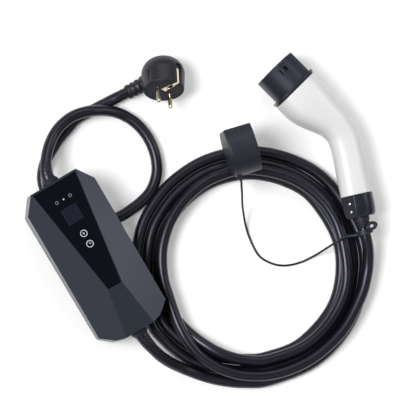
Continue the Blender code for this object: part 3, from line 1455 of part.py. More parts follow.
# Ring on the output cord, just past the boot, with an eyelet for the tether
ring_centre = boot_tip.lerp(straight_run, 0.55)
ring_turn = tail_along.to_track_quat("Z", "Y").to_matrix().to_4x4()
RING_BORE = CORD_DIAMETER / 2 + 2.5 * GAP
ring_profile = [
    (RING_BORE, RING_WIDTH / 2),
    (RING_BORE + RING_WALL * 0.8, RING_WIDTH / 2),
    (RING_BORE + RING_WALL, RING_WIDTH / 2 - RING_WALL * 0.3),
    (RING_BORE + RING_WALL, -RING_WIDTH / 2 + RING_WALL * 0.3),
    (RING_BORE + RING_WALL * 0.8, -RING_WIDTH / 2),
    (RING_BORE, -RING_WIDTH / 2),
]
tether_ring = turned(
    "tether_ring",
    ring_profile,
    None,
    cap_finish,
    steps=24,
    place=Matrix.Translation(ring_centre) @ ring_turn,
)

# Tether from the cap, down into the middle of the coil and over its right side to the ring
lug_place = cap_place @ Vector((CAP_BACK + CAP_LUG_RADIUS * 2.0, LUG_Y - CAP_LUG_RADIUS, 0.0))
tether_away = (cap_place.to_3x3() @ Vector((0.0, -1.0, 0.0))).normalized()
RING_REACH = RING_BORE + RING_WALL + GAP + TETHER_DIAMETER / 2
ring_side = ring_centre - tail_across * RING_REACH
TETHER_FLOOR = TETHER_DIAMETER / 2 + 2 * SLIP
OVER_COIL = COIL_HEIGHT + TETHER_DIAMETER / 2 + 0.0012
tether_route = [
    lug_place + tether_away * (GAP + TETHER_DIAMETER / 2),
    lug_place + tether_away * 0.0080 + Vector((0.0, 0.0, -0.0070)),
    (lug_place.x - 0.0149, lug_place.y - 0.0148, 0.0240),
    (0.0200, -0.0400, 0.0060),
    (0.0110, -0.0590, TETHER_FLOOR),
    (0.0063, -0.0795, TETHER_FLOOR),
    (0.0102, -0.0959, TETHER_FLOOR),
    (0.0192, -0.1087, TETHER_FLOOR),
    (0.0324, -0.1172, TETHER_FLOOR),
    (0.0480, -0.1225, 0.0040),
    (0.0620, -0.1262, 0.0160),
    (0.0730, -0.1285, OVER_COIL),
    (0.0850, -0.1310, OVER_COIL + 0.0010),
    ring_side + Vector((-0.0060, 0.0005, 0.0030)),
    ring_side,
]
tube("cap_tether", smooth_route(tether_route, 34), TETHER_DIAMETER, cap_finish)
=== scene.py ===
import json
import math

import bmesh
import bpy
from mathutils import Matrix, Vector

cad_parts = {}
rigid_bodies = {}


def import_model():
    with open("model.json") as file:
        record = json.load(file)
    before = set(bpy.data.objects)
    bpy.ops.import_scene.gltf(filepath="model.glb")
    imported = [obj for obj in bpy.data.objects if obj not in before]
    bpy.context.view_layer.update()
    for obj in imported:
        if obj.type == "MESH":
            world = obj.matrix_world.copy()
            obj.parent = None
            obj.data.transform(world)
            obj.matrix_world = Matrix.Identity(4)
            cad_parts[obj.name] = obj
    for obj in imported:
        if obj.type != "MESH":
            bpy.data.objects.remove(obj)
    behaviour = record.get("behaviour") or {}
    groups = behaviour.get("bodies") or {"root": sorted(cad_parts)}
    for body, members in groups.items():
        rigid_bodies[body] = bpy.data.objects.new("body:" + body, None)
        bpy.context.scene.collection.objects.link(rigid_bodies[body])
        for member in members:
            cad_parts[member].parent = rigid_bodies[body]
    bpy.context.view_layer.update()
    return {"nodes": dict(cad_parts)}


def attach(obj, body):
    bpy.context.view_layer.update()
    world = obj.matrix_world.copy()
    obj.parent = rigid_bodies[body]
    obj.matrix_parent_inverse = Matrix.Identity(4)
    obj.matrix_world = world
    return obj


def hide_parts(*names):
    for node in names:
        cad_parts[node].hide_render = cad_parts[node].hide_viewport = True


for leftover in list(bpy.data.objects):
    bpy.data.objects.remove(leftover)
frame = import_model()
nodes = frame["nodes"]

# Backdrop: a seamless sweep of white paper that the charger lies on.
# It is matte, and it shows as plain white to the camera while it still takes the soft shadow.
PAPER_SIZE, PAPER_GLOW = 3.0, 0.17
PAPER_WHITE, PAPER_ROUGHNESS, PAPER_SHINE = (0.86, 0.86, 0.865, 1), 0.9, 0.1


def maths(tree, operation):
    """A maths node in a tree of nodes."""
    made = tree.nodes.new("ShaderNodeMath")
    made.operation = operation
    return made


paper_bm = bmesh.new()
bmesh.ops.create_grid(paper_bm, x_segments=2, y_segments=2, size=PAPER_SIZE)
paper_mesh = bpy.data.meshes.new("paper_floor")
paper_bm.to_mesh(paper_mesh)
paper_bm.free()
paper = bpy.data.objects.new("paper_floor", paper_mesh)
bpy.context.scene.collection.objects.link(paper)
paper_finish = bpy.data.materials.new("white_paper")
paper_finish.use_nodes = True
tree = paper_finish.node_tree
skin = tree.nodes["Principled BSDF"]
skin.inputs["Base Color"].default_value = PAPER_WHITE
skin.inputs["Roughness"].default_value = PAPER_ROUGHNESS
skin.inputs["Specular IOR Level"].default_value = PAPER_SHINE
ray = tree.nodes.new("ShaderNodeLightPath")
seen, through, level = maths(tree, "MAXIMUM"), maths(tree, "MAXIMUM"), maths(tree, "MULTIPLY")
level.inputs[1].default_value = PAPER_GLOW
glow = tree.nodes.new("ShaderNodeEmission")
both = tree.nodes.new("ShaderNodeAddShader")
tree.links.new(ray.outputs["Is Camera Ray"], seen.inputs[0])
tree.links.new(ray.outputs["Is Glossy Ray"], seen.inputs[1])
tree.links.new(seen.outputs[0], through.inputs[0])
tree.links.new(ray.outputs["Is Transmission Ray"], through.inputs[1])
tree.links.new(through.outputs[0], level.inputs[0])
tree.links.new(level.outputs[0], glow.inputs["Strength"])
tree.links.new(skin.outputs[0], both.inputs[0])
tree.links.new(glow.outputs[0], both.inputs[1])
tree.links.new(both.outputs[0], tree.nodes["Material Output"].inputs["Surface"])
paper_mesh.materials.append(paper_finish)

# Studio light: a dim room with a ring of soft light high up, a soft sun at the upper left and two area lamps.
# The ring gives each round cord its two narrow highlights, and the room is white to the camera.
RING_LOW, RING_HIGH, RING_SOFT = 0.70, 0.76, 0.05
RING_LIGHT, SIDE_LIGHT, TOP_LIGHT = 1.5, 0.13, 0.10
SUN_FROM, SUN_LEVEL, SUN_SPREAD = (-0.86, 0.80, 1.95), 2.6, 26.0


def ranged(tree, low, high, low_value, high_value):
    """A node that turns one range of values into another."""
    made = tree.nodes.new("ShaderNodeMapRange")
    made.inputs["From Min"].default_value = low
    made.inputs["From Max"].default_value = high
    made.inputs["To Min"].default_value = low_value
    made.inputs["To Max"].default_value = high_value
    return made


world = bpy.data.worlds.new("studio_room")
bpy.context.scene.world = world
world.use_nodes = True
tree = world.node_tree
place = tree.nodes.new("ShaderNodeTexCoord")
parts = tree.nodes.new("ShaderNodeSeparateXYZ")
rise = ranged(tree, RING_LOW - RING_SOFT, RING_LOW, SIDE_LIGHT, RING_LIGHT)
fall = ranged(tree, RING_HIGH, RING_HIGH + RING_SOFT, RING_LIGHT, TOP_LIGHT)
rise.interpolation_type = fall.interpolation_type = "SMOOTHSTEP"
lower, shown = maths(tree, "MINIMUM"), maths(tree, "MAXIMUM")
ray = tree.nodes.new("ShaderNodeLightPath")
tree.links.new(place.outputs["Generated"], parts.inputs[0])
tree.links.new(parts.outputs["Z"], rise.inputs["Value"])
tree.links.new(parts.outputs["Z"], fall.inputs["Value"])
tree.links.new(rise.outputs[0], lower.inputs[0])
tree.links.new(fall.outputs[0], lower.inputs[1])
tree.links.new(lower.outputs[0], shown.inputs[0])
tree.links.new(ray.outputs["Is Camera Ray"], shown.inputs[1])
tree.links.new(shown.outputs[0], tree.nodes["Background"].inputs["Strength"])
tree.nodes["Background"].inputs["Color"].default_value = (1, 1, 1, 1)


def aimed(name, kind, energy, where):
    """A lamp that faces the charger from one side, as its object."""
    data = bpy.data.lights.new(name, kind)
    data.energy = energy
    item = bpy.data.objects.new(name, data)
    bpy.context.scene.collection.objects.link(item)
    item.rotation_mode = "QUATERNION"
    item.rotation_quaternion = Vector(where).to_track_quat("Z", "Y")
    return item


def area_lamp(name, where, width, height, watts):
    """A rectangular soft lamp."""
    item = aimed(name, "AREA", watts, where)
    item.location = where
    item.data.shape = "RECTANGLE"
    item.data.size, item.data.size_y = width, height


key_sun = aimed("key_sun", "SUN", SUN_LEVEL, SUN_FROM)
key_sun.data.angle = math.radians(SUN_SPREAD)
area_lamp("right_lamp", (0.69, -0.26, 0.59), 0.22, 0.26, 1.2)
area_lamp("upper_strip", (0.72, 0.80, 1.00), 1.1, 0.20, 3.0)

# Camera: it looks down on the charger with a long lens, leaning a little to one side, as in the photograph.
# It stands several metres away, and its picture is as wide as VIEW_WIDTH on the paper.
VIEW_WIDTH = 0.4576
LENS, FILM, FAR_CLIP = 600.0, 36.0, 100.0
LEAN, LEAN_X, LEAN_Y = 0.13, -0.970, 0.242
PICTURE_UP = (0.7071, 0.7071, 0.0)
view_target = Vector((0.0034, -0.0034, 0.0))
view_back = Vector((LEAN_X * LEAN, LEAN_Y * LEAN, 1.0)).normalized()
view_right = Vector(PICTURE_UP).cross(view_back).normalized()
view_up = view_back.cross(view_right)
camera_data = bpy.data.cameras.new("photo_camera")
camera_data.lens, camera_data.sensor_width = LENS, FILM
camera_data.clip_end = FAR_CLIP
camera = bpy.data.objects.new("photo_camera", camera_data)
bpy.context.scene.collection.objects.link(camera)
camera_place = Matrix((view_right, view_up, view_back)).transposed().to_4x4()
camera_place.translation = view_target + view_back * (VIEW_WIDTH / 2 * LENS / (FILM / 2))
camera.matrix_world = camera_place
bpy.context.scene.camera = camera
bpy.context.scene.view_settings.view_transform = "Standard"


# Mains plug: a soft angled body moulded round two nickel pins, with an earth clip let into its face.
# The body is black rubber that tapers into the cord's ribbed boot, and the pins are pressed in before moulding.
MOTTLE_LOW, MOTTLE_HIGH = 0.3, 0.7
COOL_SHINE = (0.82, 0.84, 1.0, 1.0)
SMOOTH_ANGLE, EDGE_ANGLE, FLAT_ANGLE = 35.0, 32.0, 0.5


def finish(name, colour, shade, roughness, grain, depth, metallic=0.0, mottling=30.0, ior=1.45, shine=0.5):
    """A finish with mottled colour and roughness and a fine raised grain.

    shade is the share by which the colour darkens, roughness its two ends, grain the grain's size in metres,
    depth its height in metres and shine the level of its gloss.
    """
    made = bpy.data.materials.new(name)
    made.use_nodes = True
    tree = made.node_tree
    skin = tree.nodes["Principled BSDF"]
    skin.inputs["Metallic"].default_value = metallic
    skin.inputs["IOR"].default_value = ior
    skin.inputs["Specular IOR Level"].default_value = shine
    if not metallic:
        skin.inputs["Specular Tint"].default_value = COOL_SHINE
    place = tree.nodes.new("ShaderNodeTexCoord")
    mottle = tree.nodes.new("ShaderNodeTexNoise")
    mottle.inputs["Scale"].default_value = mottling
    mottle.inputs["Detail"].default_value = 5.0
    mottle.inputs["Roughness"].default_value = 0.65
    tint = tree.nodes.new("ShaderNodeValToRGB")
    tint.color_ramp.elements[0].position = MOTTLE_LOW
    tint.color_ramp.elements[1].position = MOTTLE_HIGH
    tint.color_ramp.elements[0].color = (*[part * (1.0 - shade) for part in colour], 1)
    tint.color_ramp.elements[1].color = (*colour, 1)
    rough = ranged(tree, MOTTLE_LOW, MOTTLE_HIGH, *roughness)
    specks = tree.nodes.new("ShaderNodeTexNoise")
    specks.inputs["Scale"].default_value = 1.0 / grain
    specks.inputs["Detail"].default_value = 2.0
    bump = tree.nodes.new("ShaderNodeBump")
    bump.name = "bump"
    bump.inputs["Distance"].default_value = depth
    tree.links.new(place.outputs["Object"], mottle.inputs["Vector"])
    tree.links.new(place.outputs["Object"], specks.inputs["Vector"])
    tree.links.new(mottle.outputs["Fac"], tint.inputs[0])
    tree.links.new(mottle.outputs["Fac"], rough.inputs["Value"])
    tree.links.new(tint.outputs[0], skin.inputs["Base Color"])
    tree.links.new(rough.outputs[0], skin.inputs["Roughness"])
    tree.links.new(specks.outputs["Fac"], bump.inputs["Height"])
    tree.links.new(bump.outputs[0], skin.inputs["Normal"])
    return made


def link(name, data, material, slot, *stands_for):
    """Puts a finished mesh or curve in the scene, on the charger, in place of the solids it stands for."""
    item = bpy.data.objects.new(name, data)
    bpy.context.scene.collection.objects.link(item)
    data.materials.clear()
    data.materials.append(material)
    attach(item, "root")
    if stands_for:
        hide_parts(*stands_for)
    return item


def formed(name, bm, material, slot, *stands_for):
    """A piece from a finished bmesh, with its faces turned out."""
    bmesh.ops.recalc_face_normals(bm, faces=bm.faces)
    mesh = bpy.data.meshes.new(name)
    bm.to_mesh(mesh)
    bm.free()
    return link(name, mesh, material, slot, *stands_for)


def shaded(item):
    """Smooth shading that keeps sharp edges, with flat faces left flat."""
    for face in item.data.polygons:
        face.use_smooth = True
    item.data.set_sharp_from_angle(angle=math.radians(SMOOTH_ANGLE))
    even = item.modifiers.new("even_normals", "WEIGHTED_NORMAL")
    even.keep_sharp = True
    return item


def refined(name, node, material, slot, edge):
    """A copy of a solid's skin, welded, with its sharp edges rounded to a small radius."""
    bm = bmesh.new()
    bm.from_mesh(nodes[node].data)
    bmesh.ops.remove_doubles(bm, verts=bm.verts, dist=0.00001)
    bmesh.ops.dissolve_limit(bm, angle_limit=math.radians(FLAT_ANGLE), verts=bm.verts, edges=bm.edges)
    sharp = [
        joint
        for joint in bm.edges
        if len(joint.link_faces) == 2 and joint.calc_face_angle(0.0) > math.radians(EDGE_ANGLE)
    ]
    bmesh.ops.bevel(
        bm,
        geom=sharp,
        offset=edge,
        offset_type="OFFSET",
        affect="EDGES",
        segments=2,
        profile=0.5,
        material=-1,
        clamp_overlap=True,
    )
    mesh = bpy.data.meshes.new(name)
    bm.to_mesh(mesh)
    bm.free()
    return shaded(link(name, mesh, material, slot, node))


def smoothed(points, step):
    """Points a step apart on one smooth curve through the route's points."""
    route = [Vector(point) for point in points]
    route = [2 * route[0] - route[1]] + route + [2 * route[-1] - route[-2]]
    line = []
    for before, start, end, after in zip(route, route[1:], route[2:], route[3:]):
        pieces = max(2, round((end - start).length / step))
        for piece in range(pieces):
            t = piece / pieces
            square = (2 * before - 5 * start + 4 * end - after) * t**2
            cubic = (3 * start - before - 3 * end + after) * t**3
            line.append(start + ((end - before) * t + square + cubic) / 2)
    return line + [route[-2]]


def turned(profile, place, steps=64, closed=False):
    """A profile of radius and height, turned about Z and put in its place, as a bmesh."""
    bm = bmesh.new()
    points = [bm.verts.new((radius, 0.0, height)) for radius, height in profile]
    edges = [bm.edges.new(pair) for pair in zip(points, points[1:])]
    if closed:
        edges.append(bm.edges.new((points[-1], points[0])))
    bmesh.ops.spin(
        bm, geom=points + edges, cent=(0, 0, 0), axis=(0, 0, 1), angle=2 * math.pi, steps=steps, use_merge=True
    )
    bmesh.ops.remove_doubles(bm, verts=bm.verts, dist=0.000005)
    bm.transform(place)
    return bm


def tube(line, radii, sides=6):
    """A curve with a round section along a line, with a radius for the whole or for each point."""
    widest = max(radii) if isinstance(radii, list) else radii
    curve = bpy.data.curves.new("tube", "CURVE")
    curve.dimensions = "3D"
    curve.bevel_depth = widest
    curve.bevel_resolution = sides
    curve.use_fill_caps = True
    spline = curve.splines.new("POLY")
    spline.points.add(len(line) - 1)
    spline.use_smooth = True
    for index, point in enumerate(line):
        spline.points[index].co = (*point, 1.0)
        spline.points[index].radius = radii[index] / widest if isinstance(radii, list) else 1.0
    return curve


def settled(item):
    """Applies an object's modifiers to its mesh."""
    graph = bpy.context.evaluated_depsgraph_get()
    mesh = bpy.data.meshes.new_from_object(item.evaluated_get(graph))
    item.modifiers.clear()
    item.data = mesh
    return item


def cutter(bm):
    """An object that only cuts another."""
    mesh = bpy.data.meshes.new("cutter")
    bmesh.ops.recalc_face_normals(bm, faces=bm.faces)
    bm.to_mesh(mesh)
    bm.free()
    item = bpy.data.objects.new("cutter", mesh)
    bpy.context.scene.collection.objects.link(item)
    return item


def block(size, centre, place):
    """A rectangular bar as a bmesh."""
    bm = bmesh.new()
    bmesh.ops.create_cube(bm, size=1.0)
    bmesh.ops.scale(bm, vec=size, verts=bm.verts)
    bmesh.ops.translate(bm, vec=centre, verts=bm.verts)
    bm.transform(place)
    return bm


def carved(item, *cutters):
    """Cuts shapes out of a piece and takes the cutters away."""
    for tool in cutters:
        step = item.modifiers.new("cut", "BOOLEAN")
        step.operation = "DIFFERENCE"
        step.object = tool
        step.solver = "EXACT"
    settled(item)
    for tool in cutters:
        bpy.data.objects.remove(tool)
    return item


plug_pins = Vector((-0.630, -0.630, 0.454)).normalized()
plug_earth = Vector((0.711, -0.233, 0.663))
plug_earth = (plug_earth - plug_pins * plug_earth.dot(plug_pins)).normalized()
plug_line = plug_pins.cross(plug_earth)
PLUG_PLACE = Matrix((plug_earth, plug_line, plug_pins)).transposed().to_4x4()
PLUG_PLACE.translation = (0.0560, 0.1230, 0.0321)
PLUG_DEPTH, GRIP_RADIUS, GRIP_DROP, FACE_RADIUS, BODY_RADIUS = 0.038, 0.024, -0.0209, 0.0205, 0.0225
POCKET, FIT, MOULD_GRAIN = 0.0028, 0.0003, 0.00045
PIN_RADIUS, PIN_LENGTH, PIN_ROOT, PIN_PITCH = 0.0024, 0.019, 0.0090, 0.019
EARTH_AT, EARTH_HOLE_SHARE = 0.0100, 1.26
EARTH_SLOT, EARTH_SLOT_AT = (0.040, 0.0076, 0.02), (0.0187, 0, 0.0081)
EARTH_NOTCH, EARTH_NOTCH_AT = (0.010, 0.0082, 0.045), (0.0259, 0, -0.0014)
SIDE_NOTCH, SIDE_NOTCH_AT = (0.0042, 0.0040, 0.0110), (0, 0.0240, -0.0105)
side_line = smoothed(
    [
        (BODY_RADIUS, 0, -0.0006), (0.0229, 0, -0.0061), (0.0234, 0, -0.0137), (GRIP_RADIUS, 0, GRIP_DROP),
        (0.0226, 0, -0.0274), (0.0190, 0, -0.0331), (0.0140, 0, -0.0367), (0.0070, 0, -PLUG_DEPTH),
    ],
    0.0015,
)
grip_profile = [(0.0, -POCKET), (FACE_RADIUS + FIT, -POCKET), (FACE_RADIUS + FIT, 0.0)]
grip_profile += [(BODY_RADIUS - 0.0006, 0.0)] + [(point.x, point.z) for point in side_line] + [(0.0, -PLUG_DEPTH)]
plug_rubber = finish("plug_rubber", (0.018, 0.018, 0.021), 0.22, (0.36, 0.48), 0.0007, 0.00004)
face_rubber = finish("face_rubber", (0.016, 0.017, 0.020), 0.35, (0.50, 0.70), 0.0010, 0.00045, mottling=420.0)
nickel = finish("warm_nickel", (0.72, 0.64, 0.52), 0.10, (0.14, 0.26), 0.0008, 0.00001, 1.0)
plug_grip = formed("plug_grip", turned(grip_profile, PLUG_PLACE, 72), plug_rubber, "plug_rubber", "plug_body")
pin_hole = [(0.0, 0.01), (PIN_RADIUS + FIT, 0.01), (PIN_RADIUS + FIT, -PIN_ROOT - FIT), (0.0, -PIN_ROOT)]
earth_hole = [(radius * EARTH_HOLE_SHARE, height) for radius, height in pin_hole]
carved(
    plug_grip,
    cutter(block(EARTH_SLOT, EARTH_SLOT_AT, PLUG_PLACE)),
    cutter(block(EARTH_NOTCH, EARTH_NOTCH_AT, PLUG_PLACE)),
    cutter(block(SIDE_NOTCH, SIDE_NOTCH_AT, PLUG_PLACE)),
    cutter(block(SIDE_NOTCH, (0, -SIDE_NOTCH_AT[1], SIDE_NOTCH_AT[2]), PLUG_PLACE)),
    cutter(turned(pin_hole, PLUG_PLACE @ Matrix.Translation((0, PIN_PITCH / 2, 0)), 32)),
    cutter(turned(pin_hole, PLUG_PLACE @ Matrix.Translation((0, -PIN_PITCH / 2, 0)), 32)),
    cutter(turned(earth_hole, PLUG_PLACE @ Matrix.Translation((EARTH_AT, 0, 0)), 32)),
)
NECK_RADIUS, NECK_SHARE, BOOT_RADIUS, BOOT_TIP, BOOT_REACH = 0.0160, 0.55, 0.0102, 0.0078, 0.0430
GROOVES, GROOVE_DEPTH, GROOVE_HALF = (0.58, 0.72, 0.86), 0.20, 0.035
boot_away = Vector((-plug_earth.x, -plug_earth.y, 0.0)).normalized()
plug_middle = PLUG_PLACE @ Vector((0.0, 0.0, GRIP_DROP))
boot_end = Vector((plug_middle.x, plug_middle.y, BOOT_TIP + FIT)) + boot_away * BOOT_REACH
boot_line = smoothed(
    [
        plug_middle - plug_earth * (GRIP_RADIUS * 0.30), plug_middle - plug_earth * (GRIP_RADIUS * 0.80),
        boot_end - boot_away * 0.0170 + Vector((0, 0, 0.0025)), boot_end - boot_away * 0.0080, boot_end,
    ],
    0.0007,
)
boot_radii = []
for index, point in enumerate(boot_line):
    share = index / (len(boot_line) - 1)
    radius = BOOT_RADIUS + (BOOT_TIP - BOOT_RADIUS) * share
    radius += (NECK_RADIUS - BOOT_RADIUS) * max(0.0, 1.0 - share / NECK_SHARE)
    for groove in GROOVES:
        radius *= 1.0 - GROOVE_DEPTH * max(0.0, 1.0 - abs(share - groove) / GROOVE_HALF)
    boot_radii.append(radius)
    point.z = max(point.z, radius + 0.0002)
neck = bpy.data.objects.new("neck", tube(boot_line, boot_radii, 10))
bpy.context.scene.collection.objects.link(neck)
bpy.context.view_layer.update()
neck_mesh = bpy.data.meshes.new_from_object(neck.evaluated_get(bpy.context.evaluated_depsgraph_get()))
grip_bm = bmesh.new()
grip_bm.from_mesh(plug_grip.data)
grip_bm.from_mesh(neck_mesh)
bmesh.ops.remove_doubles(grip_bm, verts=grip_bm.verts, dist=0.000005)
grip_bm.to_mesh(plug_grip.data)
grip_bm.free()
bpy.data.objects.remove(neck)
remesh = plug_grip.modifiers.new("moulded", "REMESH")
remesh.mode = "VOXEL"
remesh.voxel_size = MOULD_GRAIN
remesh.use_smooth_shade = True
soften = plug_grip.modifiers.new("soft_edges", "SMOOTH")
soften.factor = 0.5
soften.iterations = 3
settled(plug_grip)
plug_grip.data.materials.clear()
plug_grip.data.materials.append(plug_rubber)
pin_profile = [
    (0.0, PIN_LENGTH), (0.0010, PIN_LENGTH - 0.0001), (0.0017, PIN_LENGTH - 0.0006), (0.0022, PIN_LENGTH - 0.0016),
    (PIN_RADIUS, PIN_LENGTH - 0.0030), (PIN_RADIUS, 0.0021), (PIN_RADIUS - 0.0002, 0.0019),
    (PIN_RADIUS - 0.0002, 0.0012), (PIN_RADIUS, 0.0010), (PIN_RADIUS, -PIN_ROOT), (0.0, -PIN_ROOT),
]
plug_pieces = [plug_grip, refined("plug_disc", "plug_face", face_rubber, "plug_rubber", 0.0002)]
for blade, node, side in (("line_blade", "line_pin", 1), ("neutral_blade", "neutral_pin", -1)):
    pin_place = PLUG_PLACE @ Matrix.Translation((0, side * PIN_PITCH / 2, 0))
    plug_pieces.append(shaded(formed(blade, turned(pin_profile, pin_place, 40), nickel, "nickel", node)))
LEG_FROM, LEG_IN, LEG_NARROWED = 0.0165, 0.0006, 0.45
earth_spring = refined("earth_spring", "earth_clip", nickel, "nickel", 0.0002)
for corner in earth_spring.data.vertices:
    spot = PLUG_PLACE.inverted() @ corner.co
    if spot.x > LEG_FROM:
        corner.co = PLUG_PLACE @ Vector((spot.x - LEG_IN, spot.y * LEG_NARROWED, spot.z))
plug_pieces.append(earth_spring)
lip_profile = [(0.0026, -0.0007), (0.0036, -0.0007), (0.0036, -0.0004), (0.0032, 0.0001), (0.0026, -0.0003)]
lip_bm = turned(lip_profile, PLUG_PLACE @ Matrix.Translation((EARTH_AT, 0, 0)), 40, closed=True)
plug_pieces.append(shaded(formed("earth_socket_lip", lip_bm, nickel, "nickel")))

# Input cord: a round rubber cord of 12.5 mm, moulded into the plug at one end and clamped in the box at the other.
# It leaves the box, drops into one loose loop on the paper and comes up into the plug's boot.
CORD = 0.0125
FLOOR = CORD / 2 + 0.0002
BOX_PLACE = Matrix.Translation((-0.1278, 0.0471, 0.0130)) @ Matrix.Rotation(math.radians(-14.0), 4, "Z")
HALF_BOX = 0.0935
GLAND_Z = 0.025


def in_box(x, y, z):
    """A place given from the box's middle and its underside."""
    return BOX_PLACE @ Vector((x, y, z))


input_route = [
    in_box(0, 0.0646, GLAND_Z), in_box(0, HALF_BOX - 0.0060, GLAND_Z), in_box(0, HALF_BOX + 0.0030, GLAND_Z),
    (-0.0999, 0.1503, 0.0372), (-0.0922, 0.1584, 0.0340), (-0.0827, 0.1649, 0.0296),
    (-0.0727, 0.1700, 0.0256), (-0.0599, 0.1740, 0.0222), (-0.0455, 0.1748, 0.0202),
    (-0.0316, 0.1722, 0.0196), (-0.0165, 0.1640, 0.0180), (-0.0010, 0.1502, 0.0110),
    (0.0081, 0.1352, FLOOR), (0.0119, 0.1180, FLOOR), (0.0106, 0.0998, FLOOR), (0.0043, 0.0825, FLOOR),
    (-0.0050, 0.0690, FLOOR), (-0.0151, 0.0606, FLOOR), (-0.0286, 0.0546, FLOOR), (-0.0433, 0.0534, FLOOR),
    (-0.0585, 0.0550, FLOOR), (-0.0762, 0.0593, FLOOR), (-0.0993, 0.0727, FLOOR), (-0.1146, 0.0933, FLOOR),
    (-0.1183, 0.1150, FLOOR), (-0.1127, 0.1345, FLOOR), (-0.1030, 0.1495, FLOOR), (-0.0880, 0.1592, FLOOR),
    (-0.0724, 0.1635, FLOOR), (-0.0592, 0.1662, FLOOR), (-0.0440, 0.1672, FLOOR), (-0.0299, 0.1674, FLOOR),
    boot_end + boot_away * 0.0240 + Vector((0, 0, FLOOR - boot_end.z)),
    boot_end + boot_away * 0.0120, boot_end + boot_away * 0.0006,
]
sheath = finish("cord_sheath", (0.0060, 0.0060, 0.0100), 0.20, (0.29, 0.37), 0.0006, 0.000006, ior=1.5)
input_line = smoothed(input_route, 0.004)
input_cord = link("mains_cord", tube(input_line, CORD / 2), sheath, "cord_sheath", "input_cord")

# Dust cap: a soft rubber cup with the connector's D-shaped mouth, that closes the connector when it isn't in use.
# It is moulded in one piece with the small lug that its tether ends in.
cap_rubber = finish("cap_rubber", (0.013, 0.015, 0.022), 0.20, (0.40, 0.52), 0.0006, 0.00003)
refined("rubber_cap", "dust_cap", cap_rubber, "cap_rubber", 0.0005)

# Output cord: one round rubber cord of about three metres, wound by hand into a flat coil in two layers.
# It runs from the box's lower gland round the coil from the outside in, comes up, and goes out to the connector.
COIL_MIDDLE = Vector((-0.0094, -0.0804, 0.0))
# Each row is a turn in degrees and a reach in mm, with a height in mm where the cord is off the paper.
coil_rows = [
    (195, 134.3, 9.7), (203, 131.9), (212, 130.1), (222, 128.8), (235, 127.9), (260, 127.3), (285, 127.2),
    (310, 127.1), (331, 126.9), (360, 126.5), (382, 126.2), (405, 125.8), (427, 125.5), (447, 125.4),
    (464, 125.6), (480, 126.0), (503, 126.2), (526, 126.0), (536, 125.2),
    (547, 123.9), (555, 121.8), (563, 119.4), (572, 117.6), (582, 116.2), (595, 115.2), (620, 114.7),
    (648, 114.5), (675, 114.5), (698, 114.3), (720, 114.0), (742, 113.6), (765, 113.2), (787, 112.9),
    (807, 112.8), (824, 113.1), (840, 113.5), (863, 113.6), (886, 113.4), (896, 112.6),
    (907, 111.3), (915, 109.2), (923, 106.8), (932, 104.8), (942, 103.3), (955, 102.3), (980, 101.9),
    (1013, 101.9), (1047, 101.8), (1080, 101.6), (1102, 101.2), (1125, 100.8), (1147, 100.4), (1167, 100.2),
    (1184, 100.5), (1200, 101.0), (1223, 101.1), (1246, 101.0), (1252, 100.8, 7.0), (1260, 100.6, 9.5),
    (1267, 100.8, 12.7), (1275, 101.5, 16.4), (1283, 102.7, 18.5), (1292, 103.9, 18.9),
    (1302, 104.9, 18.9), (1315, 105.9, 18.9), (1340, 106.7, 18.9), (1365, 106.9, 18.9),
    (1390, 106.6, 18.9), (1425, 106.2, 18.9), (1455, 105.9, 18.9), (1485, 105.2, 18.9),
    (1508, 104.0, 18.9), (1527, 102.6, 18.9), (1545, 101.1, 18.9), (1560, 99.9, 18.9), (1572, 98.9, 18.9),
    (1585, 98.1, 18.9), (1597, 97.8, 18.95), (1606, 100.0, 19.1), (1612, 102.7, 19.6), (1620, 106.9, 20.3),
    (1627, 110.6, 20.0), (1635, 114.4, 19.4), (1643, 117.4, 19.1), (1652, 119.8, 18.9), (1662, 121.5, 18.8),
    (1675, 122.5, 18.6), (1690, 122.6, 18.3), (1705, 122.9, 18.3), (1722, 124.2, 18.7), (1740, 126.4, 19.0),
    (1750, 128.3, 19.7), (1756, 129.3, 21.7), (1762.4, 129.9, 25.5), (1768, 129.6, 29.6),
]
output_route = [
    in_box(0, -0.0646, GLAND_Z), in_box(0, 0.0060 - HALF_BOX, GLAND_Z), in_box(0, -HALF_BOX - 0.0030, GLAND_Z),
    (-0.1530, -0.0600, 0.0363), (-0.1524, -0.0780, 0.0290), (-0.1488, -0.0930, 0.0208), (-0.1436, -0.1055, 0.0138),
]
for degrees, reach, *height in coil_rows:
    turn, reach = math.radians(degrees), reach / 1000
    lift = height[0] / 1000 if height else FLOOR
    output_route.append(COIL_MIDDLE + Vector((reach * math.cos(turn), reach * math.sin(turn), lift)))
tail_turn = math.radians(-32.5)
tail_across = Vector((math.cos(tail_turn), math.sin(tail_turn), 0.0))
tail_along = Vector((tail_across.y, -tail_across.x, 0.0))
CONNECTOR = Vector((0.1600, 0.0252, 0.0302))
tail_middle = CONNECTOR + Vector((-0.0334, -0.1326, 0.0))
COLLAR_LENGTH, BOOT_LENGTH = 0.0246, 0.0120
boot_tip = tail_middle + tail_along * (COLLAR_LENGTH + BOOT_LENGTH + 0.0003)
output_route.append(boot_tip)
output_line = smoothed(output_route, 0.005)
output_cord = link(
    "charging_cord", tube(output_line, CORD / 2), sheath, "cord_sheath",
    "output_lead_box", "output_coil", "output_lead_connector",
)

